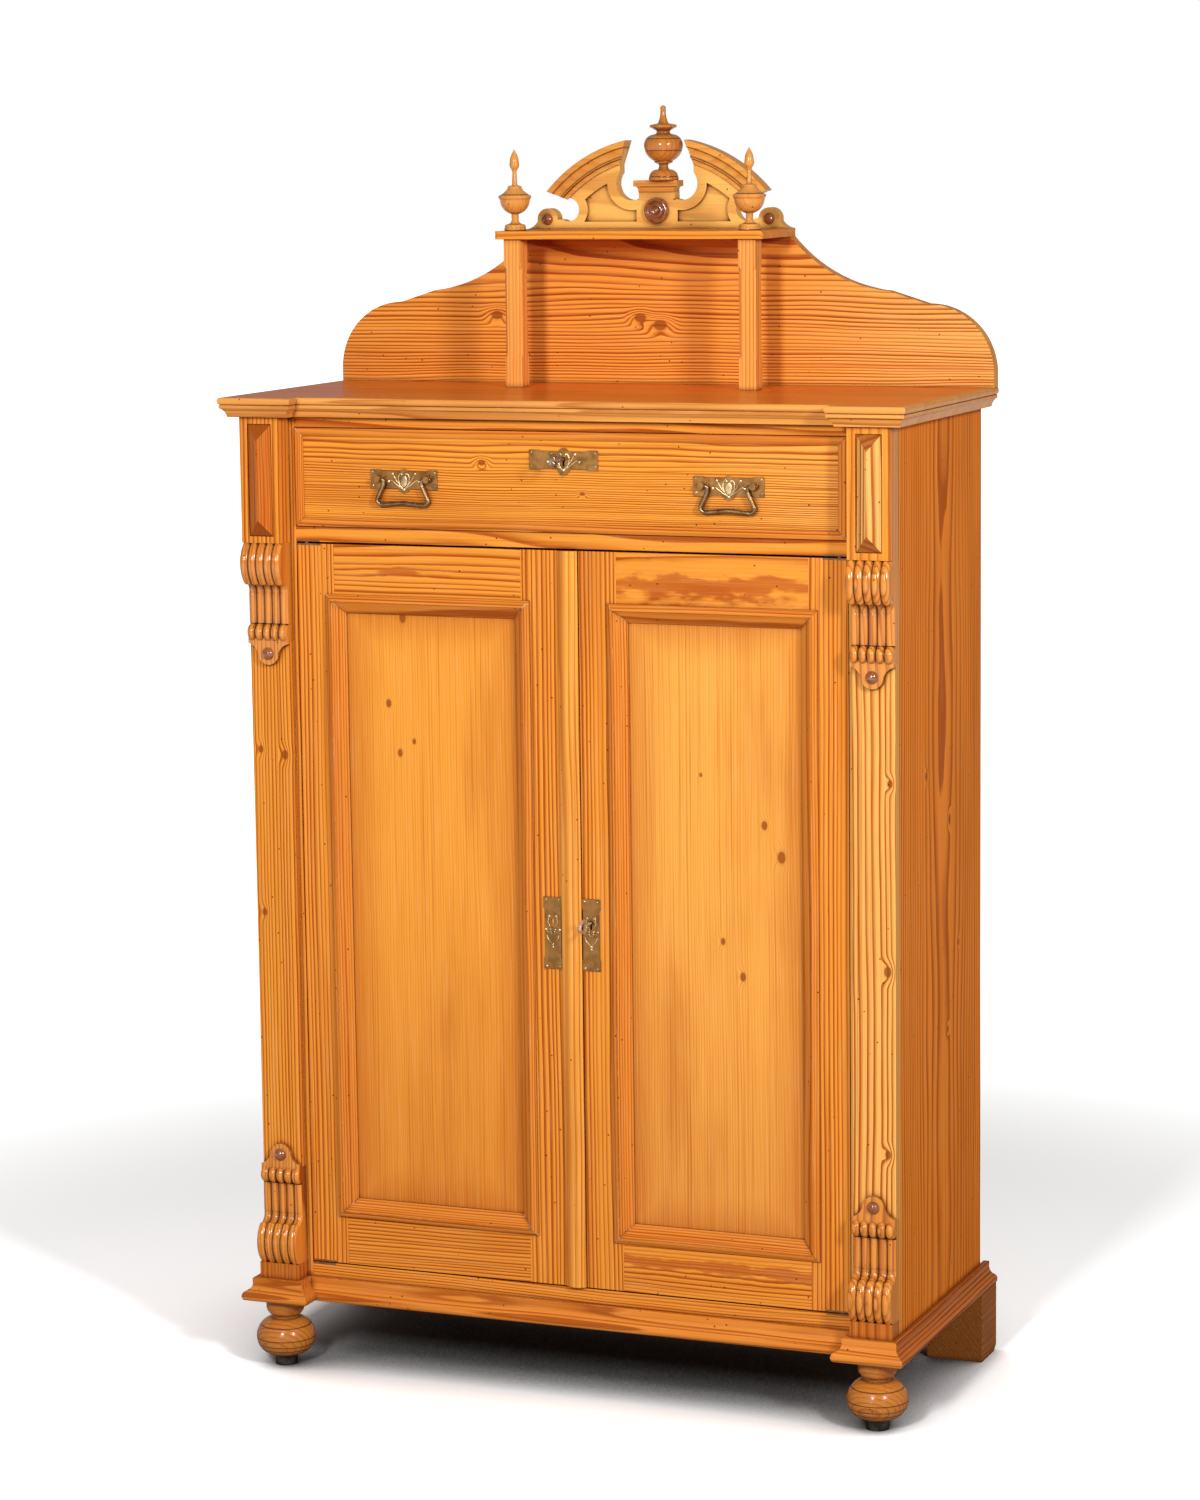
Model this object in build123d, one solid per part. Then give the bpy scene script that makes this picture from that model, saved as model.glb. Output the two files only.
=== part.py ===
from build123d import *
import math
import os

# Two-door pine cabinet with one long drawer, a gallery with a shelf and a broken arched crest.
# Millimetres. +Z is up, the front faces -Y, and the origin is the middle of the footprint on the floor.

# ---------------------------------------------------------------- driving dimensions
# Carcass
carcass_width = 1000.0         # over the side boards
carcass_depth = 398.0          # from the door face to the back edges
back_clearance = 18.0          # side plinths and rear feet reach this far behind the carcass
side_thickness = 22.0
side_seam = 294.0              # depth of the glue line between the two boards of a side
back_thickness = 12.0
back_board_count = 6
foot_height = 104.0
plinth_height = 33.0
bottom_thickness = 22.0
drawer_rail_height = 22.0
drawer_rail_depth = 60.0
frieze_rail_height = 16.0
rail_thickness = 22.0
worktop_thickness = 28.5
shelf_thickness = 18.0
shelf_count = 2
shelf_setback = 45.0
cleat_size = 20.0

# Front stiles and the pilasters glued on them
stile_width = 72.0
stile_face_thickness = 8.0     # in front of the side board
stile_depth = 30.0
pilaster_width = 64.0
shaft_proud = 14.0
block_proud = 34.0
base_block_height = 57.0
frieze_block_height = 185.0
lozenge_width = 38.5
lozenge_height = 165.0
lozenge_recess = 1.5
lozenge_rise = 13.0
lozenge_hip = 24.0             # length of the slope at each end
lozenge_fit = 0.3

# Corbels: a reeded scroll, a reeded neck, a row of beads and a tongue with a boss
reed_count = 5
reed_depth = 4.0               # from the crest of a reed to the grooves beside it
scroll_height = 62.0
scroll_radius = 43.5
scroll_centre_proud = 3.5
cove_radius = 12.0             # round hollow between the scroll and the neck
cove_bite = 0.5                # how far its cut goes into both
neck_proud = 20.0
neck_length = 58.0
bead_radius = 13.5
bead_centre_proud = 16.0
bead_depth = 5.0
tongue_radius = 16.5
tongue_reach = 18.0            # from the bead row to the middle of the tongue's round end
tongue_shoulder = 3.0
tongue_hollow = 3.0
tongue_thickness = 8.0
corbel_boss_radius = 9.4
corbel_boss_height = 6.5

# Feet
bun_radius = 44.6
bun_widest = 43.5              # heights above the floor
bun_top = 73.5
bun_neck_radius = 20.3
bun_collar_height = 25.0
bun_collar_radius = 29.0
bun_collar_rise = 12.0         # height of the collar's round lower part
bun_collar_swell = 5.0
glide_radius = 17.0
glide_height = 15.5
glide_margin = 1.5             # flat of the bun round its glide
dowel_radius = 12.0
dowel_length = 30.0
dowel_clearance = 0.2
bun_inset = 29.4               # from the outside of the carcass to the turning centre
rear_foot_width = 86.0
rear_foot_depth = 75.0
rear_foot_overhang = 20.0
rear_foot_bevel_rise = 8.0
rear_foot_bevel_run = 12.0

# Plinth moulding
plinth_top_proud = 9.0
plinth_foot_proud = 22.0
plinth_fillet = 6.0
plinth_nose_height = 13.0
plinth_nose_round = 3.0
plinth_cove = 3.5

# Worktop and its moulded edge
top_side_overhang = 27.0
top_front_overhang = 18.0
top_break = 25.0               # how far the middle of the front edge stands back
top_moulding_width = 15.0
top_nose_round = 2.0
top_nose_height = 9.7
top_quirk = 1.2                # groove between the nose and the fillet
top_fillet_height = 4.8
top_cove_reach = 9.0           # from the bottom of the edge out to its fillet
top_cove_hollow = 1.6

# Doors
door_height = 1087.0
door_thickness = 24.0
door_side_gap = 1.2
door_top_gap = 3.0
door_bottom_gap = 2.0
meeting_gap = 1.2
meeting_line = 19.1            # right of the middle, beside the astragal
hinge_stile_width = 59.0
meeting_stile_width = 58.0     # without the part under the astragal
top_rail_height = 88.0
bottom_rail_height = 86.0
panel_thickness = 8.0
panel_recess = 12.0
panel_groove_depth = 9.0
panel_play = 1.0
astragal_width = 31.0
astragal_proud = 8.0
door_moulding_width = 14.0     # inside the opening
door_moulding_lip = 14.0       # over the frame
door_moulding_proud = 6.5
door_moulding_ridge = 10.0     # from the outer edge to the ridge
door_moulding_step = 1.5
door_moulding_fillet = 2.0

# Pivot hinges
pivot_inset = 14.0             # from the door's outer edge
pivot_setback = 4.0            # behind the door face
pivot_radius = 3.0
pivot_clearance = 0.05
pivot_plate_length = 38.0
pivot_plate_width = 14.0
pivot_plate_thickness = 2.5
pivot_reach = 2.0              # pin beyond the plate that it turns in

# Drawer
drawer_side_gap = 2.5
drawer_top_gap = 1.0
drawer_bottom_gap = 1.0
drawer_front_thickness = 22.0
drawer_front_proud = 1.0
drawer_end_gap = 28.0          # from the drawer's back to the back edges of the sides
drawer_board = 12.0
drawer_bottom_thickness = 7.0
drawer_bottom_rise = 10.0
drawer_box_height = 118.0
drawer_play = 0.5
beading_width = 12.5
beading_rebate = 3.0
beading_proud = 3.0
runner_height = 20.0
runner_reach = 16.0            # under the drawer side

# Brass
plate_thickness = 1.2
plate_length = 106.0
plate_height = 28.5
plate_end = 16.0               # length of the taller ends
plate_step = 1.6               # how much the middle is lower than the ends
plate_drop = 1.2               # middle of a plate below its bail's axis or its keyhole
motif_width = 24.0             # oval swelling in the middle of a plate
pull_motif_height = 34.6
escutcheon_motif_height = 39.2
motif_drop = 2.0
pull_spacing = 502.0
pull_span = 78.0               # between the two pivots of a bail
bail_radius = 3.1
bail_clearance = 0.1
bail_drop = 37.5
bail_knee = 41.5               # from the middle to a lower corner
bail_stand_off = 6.0           # from the plate to the bail's axis
post_radius = 4.8
escutcheon_rise = 33.0         # drawer escutcheon above the middle of the pulls
key_hole_radius = 3.4
key_slot_width = 3.0
key_slot_drop = 10.0
key_radius = 2.3
key_bow_width = 26.0
key_bow_wire = 3.6
drawer_key_bow_height = 23.0
drawer_key_reach = 25.0        # from the plate to the bow
door_key_bow_height = 21.0
door_key_reach = 19.0
key_bit_length = 6.0
key_bit_width = 6.0
key_clearance = 0.05
lock_width = 54.0
lock_height = 44.0
lock_thickness = 11.0
lock_wall = 1.5
lock_edge = 11.0               # from the door lock's edge to its keyhole
door_escutcheon_z = 689.0
door_plate_gap = 0.3           # between a door plate and the astragal
keyhole_offset = 18.0          # keyhole above the middle of a door plate

# Gallery
gallery_thickness = 22.0
gallery_rise = 220.5           # worktop to the underside of the shelf
gallery_shoulder_radius = 102.0
gallery_shoulder_rise = 20.0
gallery_sweep_width = 152.5    # hollow sweep below each end of the shelf
gallery_sweep_drop = 80.0
gallery_sweep_hollow = 17.0
gallery_shelf_width = 425.0
gallery_shelf_depth = 146.0
gallery_shelf_thickness = 12.0
shelf_corner_radius = 6.0
post_size = 27.0
post_spacing = 372.0
post_setback = 6.0
post_chamfer = 4.0
post_plain_foot = 46.0
post_plain_head = 41.0
finial_height = 121.0
finial_rim_radius = 24.5

# Crest
crest_thickness = 20.0
crest_half_width = 212.0
arch_end_rise = 56.4           # shelf top up to the outer edge of an arch's lower end
arch_radius = 233.0
arch_width = 32.0
arch_fascia = 12.0             # thickness of the arch over the board's edge
arch_proud = 8.0
arch_band = 9.5                # flat outer band of the arch's face
arch_cove = 12.5
arch_bead = 3.0
arch_gap = 94.6                # between the two inner ends, at the top
arch_undercut = 12.0           # how far an inner end slopes back under
arch_end_inner = 144.0         # from the middle to the lower end of each arch, inside edge
arch_end_outer = 176.0
pedestal_half_width = 29.0
pedestal_height = 55.0
cap_width = 70.0
cap_thickness = 9.0
cap_cove = 8.0
cap_proud = 7.0
scroll_disc_radius = 16.5
scroll_disc_offset = 178.0
scroll_disc_rise = 14.5
notch_radius = 17.7
notch_offset = 144.0
notch_rise = 29.0
hollow_radius = 25.0           # round hollow beside the pedestal
hollow_offset = 40.0
hollow_rise = 67.5
recess_depth = 5.0
recess_border = 18.5           # solid border under the arch moulding
hollow_border = 15.0
notch_border = 14.0
recess_offset = 33.0
recess_floor_rise = 10.7
roundel_radius = 19.0
roundel_thickness = 8.0
roundel_rise = 27.0
crest_boss_radius = 8.6
urn_height = 111.0
urn_radius = 29.0
urn_offset = 11.0              # the urn stands a little right of the middle
urn_inset = 19.0               # from the back edge to its turning centre

# ---------------------------------------------------------------- places worked out from them
half_width = carcass_width / 2
opening_half = half_width - stile_width
drawer_length = carcass_depth - drawer_end_gap
pilaster_inner = half_width - pilaster_width
pilaster_middle = half_width - pilaster_width / 2
front_reach = block_proud + plinth_foot_proud
rear_reach = max(carcass_depth + back_clearance, carcass_depth - urn_inset + urn_radius)
door_face = (front_reach - rear_reach) / 2

plinth_bottom = foot_height
bottom_underside = plinth_bottom + plinth_height
bottom_top = bottom_underside + bottom_thickness
door_bottom = bottom_top + door_bottom_gap
door_top = door_bottom + door_height
drawer_rail_bottom = door_top + door_top_gap
drawer_rail_top = drawer_rail_bottom + drawer_rail_height
drawer_front_height = 144.0
frieze_rail_bottom = drawer_rail_top + drawer_bottom_gap + drawer_front_height + drawer_top_gap
carcass_top = frieze_rail_bottom + frieze_rail_height
worktop_top = carcass_top + worktop_thickness
gallery_shelf_bottom = worktop_top + gallery_rise
gallery_shelf_top = gallery_shelf_bottom + gallery_shelf_thickness

inner_half = half_width - side_thickness
inside_depth = carcass_depth - back_thickness
base_block_top = plinth_bottom + base_block_height
frieze_block_bottom = carcass_top - frieze_block_height
corbel_length = scroll_height + neck_length + 2 * bead_radius
OVERSIZE = 5.0                 # extra length of cutters past the faces that they cut


def depth(distance):
    """Y of a point this far behind the door face."""
    return door_face + distance


def slab(x0, x1, y0, y1, z0, z1):
    """Rectangular piece between two corners."""
    middle = ((x0 + x1) / 2, (y0 + y1) / 2, (z0 + z1) / 2)
    return Pos(*middle) * Box(abs(x1 - x0), abs(y1 - y0), abs(z1 - z0))


def both_sides(piece):
    """A piece on the right and its mirror image on the left."""
    return [piece, mirror(piece, about=Plane.YZ)]


def outline(rows):
    """Closed face from (x, y) or (x, y, bulge) rows; a bulge bends the edge that arrives there outwards."""
    pairs = list(zip(rows[-1:] + rows[:-1], rows))
    area = sum(a[0] * b[1] - b[0] * a[1] for a, b in pairs)
    inward = -1 if area > 0 else 1
    edges = []
    for before, row in pairs:
        start, end = before[:2], row[:2]
        if start == end:
            continue
        bent = len(row) == 3 and row[2]
        edges.append(SagittaArc(start, end, inward * row[2]) if bent else Line(start, end))
    return make_face(edges)


def turned(rows):
    """Solid turned on the Z axis from (radius, z) rows between its two ends on the axis."""
    return revolve(Plane.XZ * outline(rows), axis=Axis.Z)


def upright(shape, y):
    """Sketch drawn as seen from the front, placed at this Y."""
    return Plane(origin=(0, y, 0), x_dir=(1, 0, 0), z_dir=(0, -1, 0)) * shape


def pressed(shape, y_front, y_back):
    """Front-view sketch made solid between two depths."""
    return extrude(upright(shape, y_back), amount=y_back - y_front)


def moulding_run(section, start, end, turn_start, turn_end, up):
    """Straight moulding from start to end; a turn is 1 at an outside corner, -1 at an inside one, 0 square.

    The section is drawn with x away from the run's right side and y along up."""
    start, end = Vector(*start), Vector(*end)
    length = (end - start).length
    reach = section.bounding_box().size.X + OVERSIZE
    across = Plane(origin=(-reach, 0, 0), x_dir=(0, -1, 0), z_dir=(-1, 0, 0))
    run = extrude(across * section, amount=length + 2 * reach, dir=(1, 0, 0))
    run = split(run, bisect_by=Plane(origin=(0, 0, 0), z_dir=(1, -turn_start, 0)), keep=Keep.TOP)
    run = split(run, bisect_by=Plane(origin=(length, 0, 0), z_dir=(-1, -turn_end, 0)), keep=Keep.TOP)
    return Plane(origin=start, x_dir=(end - start).normalized(), z_dir=up).location * run


def moulding_path(section, points, up=(0, 0, 1), closed=False):
    """Mitred mouldings along a path whose outer side is on the right of its direction."""
    count = len(points)
    last = count if closed else count - 1
    ways = [Vector(*points[(i + 1) % count]) - Vector(*points[i]) for i in range(last)]
    turns = []
    for i in range(last + 1):
        if not closed and i in (0, last):
            turns.append(0)
        else:
            swing = ways[i - 1].cross(ways[i % last]).dot(Vector(*up))
            turns.append(1 if swing > 0 else -1)
    return [
        moulding_run(section, points[i], points[(i + 1) % count], turns[i], turns[i + 1], up)
        for i in range(last)
    ]


def key_hole(x, z, y_front, y_back):
    """Cutter for a keyhole: a round hole with a slot below it."""
    shape = Pos(x, z) * Circle(key_hole_radius)
    shape += Pos(x, z - key_slot_drop / 2) * Rectangle(key_slot_width, key_slot_drop)
    return pressed(shape, y_front, y_back)


nodes = {}


# ---------------------------------------------------------------- carcass
def make_carcass():
    front = stile_face_thickness
    side = [
        slab(inner_half, half_width, depth(front), depth(side_seam), plinth_bottom, carcass_top),
        slab(inner_half, half_width, depth(side_seam), depth(carcass_depth), plinth_bottom, carcass_top),
    ]
    nodes["carcass_sides"] = [piece for board in side for piece in both_sides(board)]

    stile = slab(opening_half, half_width, depth(0), depth(front), plinth_bottom, carcass_top)
    stile += slab(opening_half, inner_half, depth(front), depth(stile_depth), plinth_bottom, carcass_top)
    nodes["front_stiles"] = both_sides(stile - dowel_hole())

    nodes["plinth_rail"] = [
        slab(-opening_half, opening_half, depth(0), depth(rail_thickness), plinth_bottom, bottom_underside)
    ]
    bottom = slab(-opening_half, opening_half, depth(0), depth(stile_depth), bottom_underside, bottom_top)
    bottom += slab(
        -inner_half, inner_half, depth(stile_depth), depth(inside_depth), bottom_underside, bottom_top
    )
    rail = slab(
        -opening_half, opening_half, depth(0), depth(drawer_rail_depth), drawer_rail_bottom, drawer_rail_top
    )
    plates = []
    for place_x in (-hinge_x, hinge_x):
        for board_edge, way in ((drawer_rail_bottom, 1), (bottom_top, -1)):
            plate, pocket = hinge_plate(place_x, board_edge, way)
            plates.append(plate)
            if way > 0:
                rail -= pocket
            else:
                bottom -= pocket
    nodes["bottom_board"] = [bottom]
    nodes["drawer_rail"] = [rail]
    nodes["hinge_plates"] = plates
    nodes["frieze_rail"] = [
        slab(-opening_half, opening_half, depth(0), depth(rail_thickness), frieze_rail_bottom, carcass_top)
    ]

    board_width = 2 * inner_half / back_board_count
    nodes["back_boards"] = [
        slab(
            -inner_half + i * board_width, -inner_half + (i + 1) * board_width,
            depth(inside_depth), depth(carcass_depth), plinth_bottom, carcass_top,
        )
        for i in range(back_board_count)
    ]

    runner = slab(
        opening_half - drawer_side_gap - runner_reach, inner_half, depth(drawer_rail_depth),
        depth(inside_depth), drawer_rail_top - runner_height, drawer_rail_top,
    )
    runner += slab(
        opening_half, inner_half, depth(drawer_rail_depth), depth(inside_depth),
        drawer_rail_top, drawer_rail_top + runner_height,
    )
    nodes["drawer_runners"] = both_sides(runner)

    shelves, cleats = [], []
    for i in range(shelf_count):
        level = bottom_top + (drawer_rail_bottom - bottom_top) * (i + 1) / (shelf_count + 1)
        shelves.append(
            slab(
                -inner_half, inner_half, depth(shelf_setback), depth(inside_depth),
                level, level + shelf_thickness,
            )
        )
        cleats += both_sides(
            slab(
                inner_half - cleat_size, inner_half, depth(shelf_setback), depth(inside_depth),
                level - cleat_size, level,
            )
        )
    nodes["inner_shelves"] = shelves
    nodes["shelf_cleats"] = cleats


# ---------------------------------------------------------------- pilasters
def make_pilasters():
    inner, outer = pilaster_inner, half_width
    low, high = base_block_top + corbel_length, frieze_block_bottom - corbel_length
    nodes["pilaster_shafts"] = both_sides(slab(inner, outer, depth(-shaft_proud), depth(0), low, high))
    base = slab(inner, outer, depth(-block_proud), depth(0), plinth_bottom, base_block_top)
    nodes["base_blocks"] = both_sides(base - dowel_hole())

    middle_z = carcass_top - frieze_block_height / 2
    block = slab(inner, outer, depth(-block_proud), depth(0), frieze_block_bottom, carcass_top)
    block -= Pos(pilaster_middle, depth(-block_proud + lozenge_recess / 2), middle_z) * Box(
        lozenge_width, lozenge_recess, lozenge_height
    )
    nodes["frieze_blocks"] = both_sides(block)

    width, height = lozenge_width - 2 * lozenge_fit, lozenge_height - 2 * lozenge_fit
    floor = depth(-block_proud + lozenge_recess)
    hip = outline([(-width / 2, 0), (width / 2, 0), (0, lozenge_rise)])
    lengthways = Plane(origin=(0, 0, -height / 2), x_dir=(1, 0, 0), z_dir=(0, 0, 1))
    lozenge = extrude(Rot(0, 0, 180) * (lengthways * hip), amount=height)
    for way in (-1, 1):
        end_plane = Plane(origin=(0, 0, way * height / 2), z_dir=(0, lozenge_hip, -way * lozenge_rise))
        lozenge = split(lozenge, bisect_by=end_plane, keep=Keep.TOP)
    nodes["block_lozenges"] = both_sides(Pos(pilaster_middle, floor, middle_z) * lozenge)


def reeds(reach, groove):
    """Section across a corbel: round reeds this far from the X axis; a negative groove gives their cutter."""
    left, pitch = -pilaster_width / 2, pilaster_width / reed_count
    crests = [(left + i * pitch, reach - groove, groove) for i in range(1, reed_count + 1)]
    return outline([(left, 0), (left, reach - groove)] + crests + [(-left, 0)])


def reeded_drum(radius, groove, proud, z):
    """Round of reeds on an axis along X, this far in front of the door face."""
    return Pos(0, -proud, z) * revolve(reeds(radius, groove), axis=Axis.X)


def make_corbels():
    half, shaft = pilaster_width / 2, -shaft_proud
    cove_proud = neck_proud + cove_radius - cove_bite
    cove_z = scroll_height + cove_radius - cove_bite
    scroll = reeded_drum(scroll_radius, reed_depth, scroll_centre_proud, scroll_height / 2)
    neck_plane = Plane(origin=(0, 0, scroll_height / 2), x_dir=(-1, 0, 0), z_dir=(0, 0, 1))
    corbel = slab(-half, half, shaft, 0, 0, corbel_length)
    corbel += scroll & slab(-half, half, -2 * scroll_radius, 0, 0, scroll_height)
    corbel += slab(-half, half, -cove_proud, shaft, scroll_height - cove_bite, cove_z)
    corbel += extrude(neck_plane * reeds(neck_proud, reed_depth), amount=scroll_height / 2 + neck_length)
    corbel -= reeded_drum(cove_radius, -reed_depth, cove_proud, cove_z)
    bead_z = corbel_length - bead_radius
    corbel += reeded_drum(bead_radius, bead_depth, bead_centre_proud, bead_z)

    tongue_end = corbel_length + tongue_reach
    shoulder = corbel_length + tongue_shoulder
    tongue = Pos(0, tongue_end) * Circle(tongue_radius)
    tongue += outline([
        (-half, bead_z),
        (half, bead_z),
        (half, shoulder),
        (tongue_radius, tongue_end, -tongue_hollow),
        (-tongue_radius, tongue_end),
        (-half, shoulder, -tongue_hollow),
    ])
    corbel += pressed(tongue, shaft - tongue_thickness, shaft)
    boss = Pos(0, shaft - tongue_thickness, tongue_end) * Rot(90, 0, 0) * dome(
        corbel_boss_radius, corbel_boss_height
    )
    lower = Pos(pilaster_middle, door_face, base_block_top)
    upper = Pos(pilaster_middle, door_face, frieze_block_bottom)
    flipped = Plane.XY
    nodes["lower_corbels"] = both_sides(lower * corbel)
    nodes["upper_corbels"] = both_sides(upper * mirror(corbel, about=flipped))
    return both_sides(lower * boss) + both_sides(upper * mirror(boss, about=flipped))


def dome(radius, height):
    """Low round boss standing on the XY plane."""
    ball = (radius ** 2 + height ** 2) / (2 * height)
    half_chord = math.hypot(radius, height) / 2
    return turned([(0, 0), (radius, 0), (0, height, ball - math.sqrt(ball ** 2 - half_chord ** 2))])


# ---------------------------------------------------------------- plinth and feet
def bun_place():
    """Turning centre of the right bun foot, at the underside of the carcass."""
    middle = depth(-front_reach + bun_radius)
    return Pos(half_width - bun_inset, middle, plinth_bottom)


def dowel_hole():
    """Cutter for the hole that a bun foot's dowel stands in."""
    return bun_place() * Cylinder(
        dowel_radius + dowel_clearance, dowel_length + dowel_clearance,
        align=(Align.CENTER, Align.CENTER, Align.MIN),
    )


def make_plinth():
    height, top = plinth_height, plinth_top_proud
    foot = plinth_foot_proud - plinth_nose_round
    section = outline([
        (0, 0),
        (foot, 0),
        (foot, plinth_nose_height, plinth_nose_round),
        (top, height - plinth_fillet, -plinth_cove),
        (top, height),
        (0, height),
    ])
    z = plinth_bottom
    front, middle, back = depth(-block_proud), depth(0), depth(carcass_depth + back_clearance)
    path = [
        (-half_width, back, z),
        (-half_width, front, z),
        (-pilaster_inner, front, z),
        (-pilaster_inner, middle, z),
        (pilaster_inner, middle, z),
        (pilaster_inner, front, z),
        (half_width, front, z),
        (half_width, back, z),
    ]
    runs = moulding_path(section, path)
    nodes["plinth_sides"] = [runs[0], runs[-1]]
    nodes["plinth_front"] = runs[1:-1]


def swell(run, rise):
    """Bulge of a round side that is upright at its widest place and ends this far in and this far up."""
    chord = math.hypot(run, rise)
    radius = chord ** 2 / (2 * run)
    return radius - math.sqrt(radius ** 2 - (chord / 2) ** 2)


def make_feet():
    floor = -foot_height
    flat = glide_radius + glide_margin
    collar_bottom = -bun_collar_height
    bun = turned([
        (0, dowel_length),
        (0, floor + glide_height),
        (flat, floor + glide_height),
        (bun_radius, floor + bun_widest, swell(bun_radius - flat, bun_widest - glide_height)),
        (bun_neck_radius, floor + bun_top, swell(bun_radius - bun_neck_radius, bun_top - bun_widest)),
        (bun_neck_radius, collar_bottom),
        (bun_collar_radius - bun_collar_swell, collar_bottom),
        (bun_collar_radius, collar_bottom + bun_collar_rise, swell(bun_collar_swell, bun_collar_rise)),
        (bun_collar_radius, 0),
        (dowel_radius, 0),
        (dowel_radius, dowel_length),
    ])
    glide = turned([
        (0, floor + glide_height),
        (0, floor),
        (glide_radius, floor),
        (glide_radius, floor + glide_height),
    ])
    nodes["bun_feet"] = both_sides(bun_place() * bun)
    nodes["foot_glides"] = both_sides(bun_place() * glide)
    back = depth(carcass_depth + back_clearance)
    side_view = outline([
        (back - rear_foot_depth, 0),
        (back - rear_foot_bevel_run, 0),
        (back, rear_foot_bevel_rise),
        (back, foot_height),
        (back - rear_foot_depth, foot_height),
    ])
    inner = half_width + rear_foot_overhang - rear_foot_width
    side_plane = Plane(origin=(inner, 0, 0), x_dir=(0, 1, 0), z_dir=(1, 0, 0))
    nodes["rear_feet"] = both_sides(extrude(side_plane * side_view, amount=rear_foot_width))


# ---------------------------------------------------------------- worktop
def make_worktop():
    width, thick = top_moulding_width, worktop_thickness
    reach = width - top_nose_round
    nose_z = thick - top_nose_height
    quirk_z = nose_z - top_quirk
    fillet_z = quirk_z - top_fillet_height
    section = outline([
        (0, 0),
        (reach - top_cove_reach, 0),
        (reach - top_quirk, fillet_z, -top_cove_hollow),
        (reach, fillet_z),
        (reach, quirk_z),
        (reach - top_quirk, quirk_z),
        (reach - top_quirk, nose_z),
        (reach, nose_z),
        (reach, thick, top_nose_round),
        (0, thick),
    ])
    side = half_width + top_side_overhang - width
    corner_inner = pilaster_inner - top_side_overhang + width
    front = depth(-block_proud - top_front_overhang + width)
    middle = front + top_break
    back = depth(carcass_depth)
    z = carcass_top
    path = [
        (-side, back, z),
        (-side, front, z),
        (-corner_inner, front, z),
        (-corner_inner, middle, z),
        (corner_inner, middle, z),
        (corner_inner, front, z),
        (side, front, z),
        (side, back, z),
    ]
    nodes["worktop_moulding"] = moulding_path(section, path)
    plan = outline([point[:2] for point in path])
    nodes["worktop"] = [extrude(Pos(0, 0, z) * plan, amount=thick, dir=(0, 0, 1))]


# ---------------------------------------------------------------- doors
hinge_x = opening_half - door_side_gap - pivot_inset
hinge_y = depth(pivot_setback)


def hinge_plate(x, board_edge, way):
    """Brass plate let into a rail at board_edge, and the pocket for it; way is 1 above the door, -1 below."""
    sign = 1 if x > 0 else -1
    x_outer = sign * opening_half
    x_inner = x_outer - sign * pivot_plate_length
    y_back = depth(pivot_plate_width)
    z_far = board_edge + way * pivot_plate_thickness
    plate = slab(x_inner, x_outer, depth(0), y_back, board_edge, z_far)
    bore = Pos(x, hinge_y, board_edge) * Cylinder(pivot_radius + pivot_clearance, 4 * pivot_plate_thickness)
    pocket = slab(x_inner, x_outer, depth(-OVERSIZE), y_back, board_edge - way * OVERSIZE, z_far)
    pocket_end = Pos(x, hinge_y, z_far) * Cylinder(pivot_radius + 0.5, 2 * pivot_reach + 2.0)
    return plate - bore, pocket + pocket_end


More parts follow.
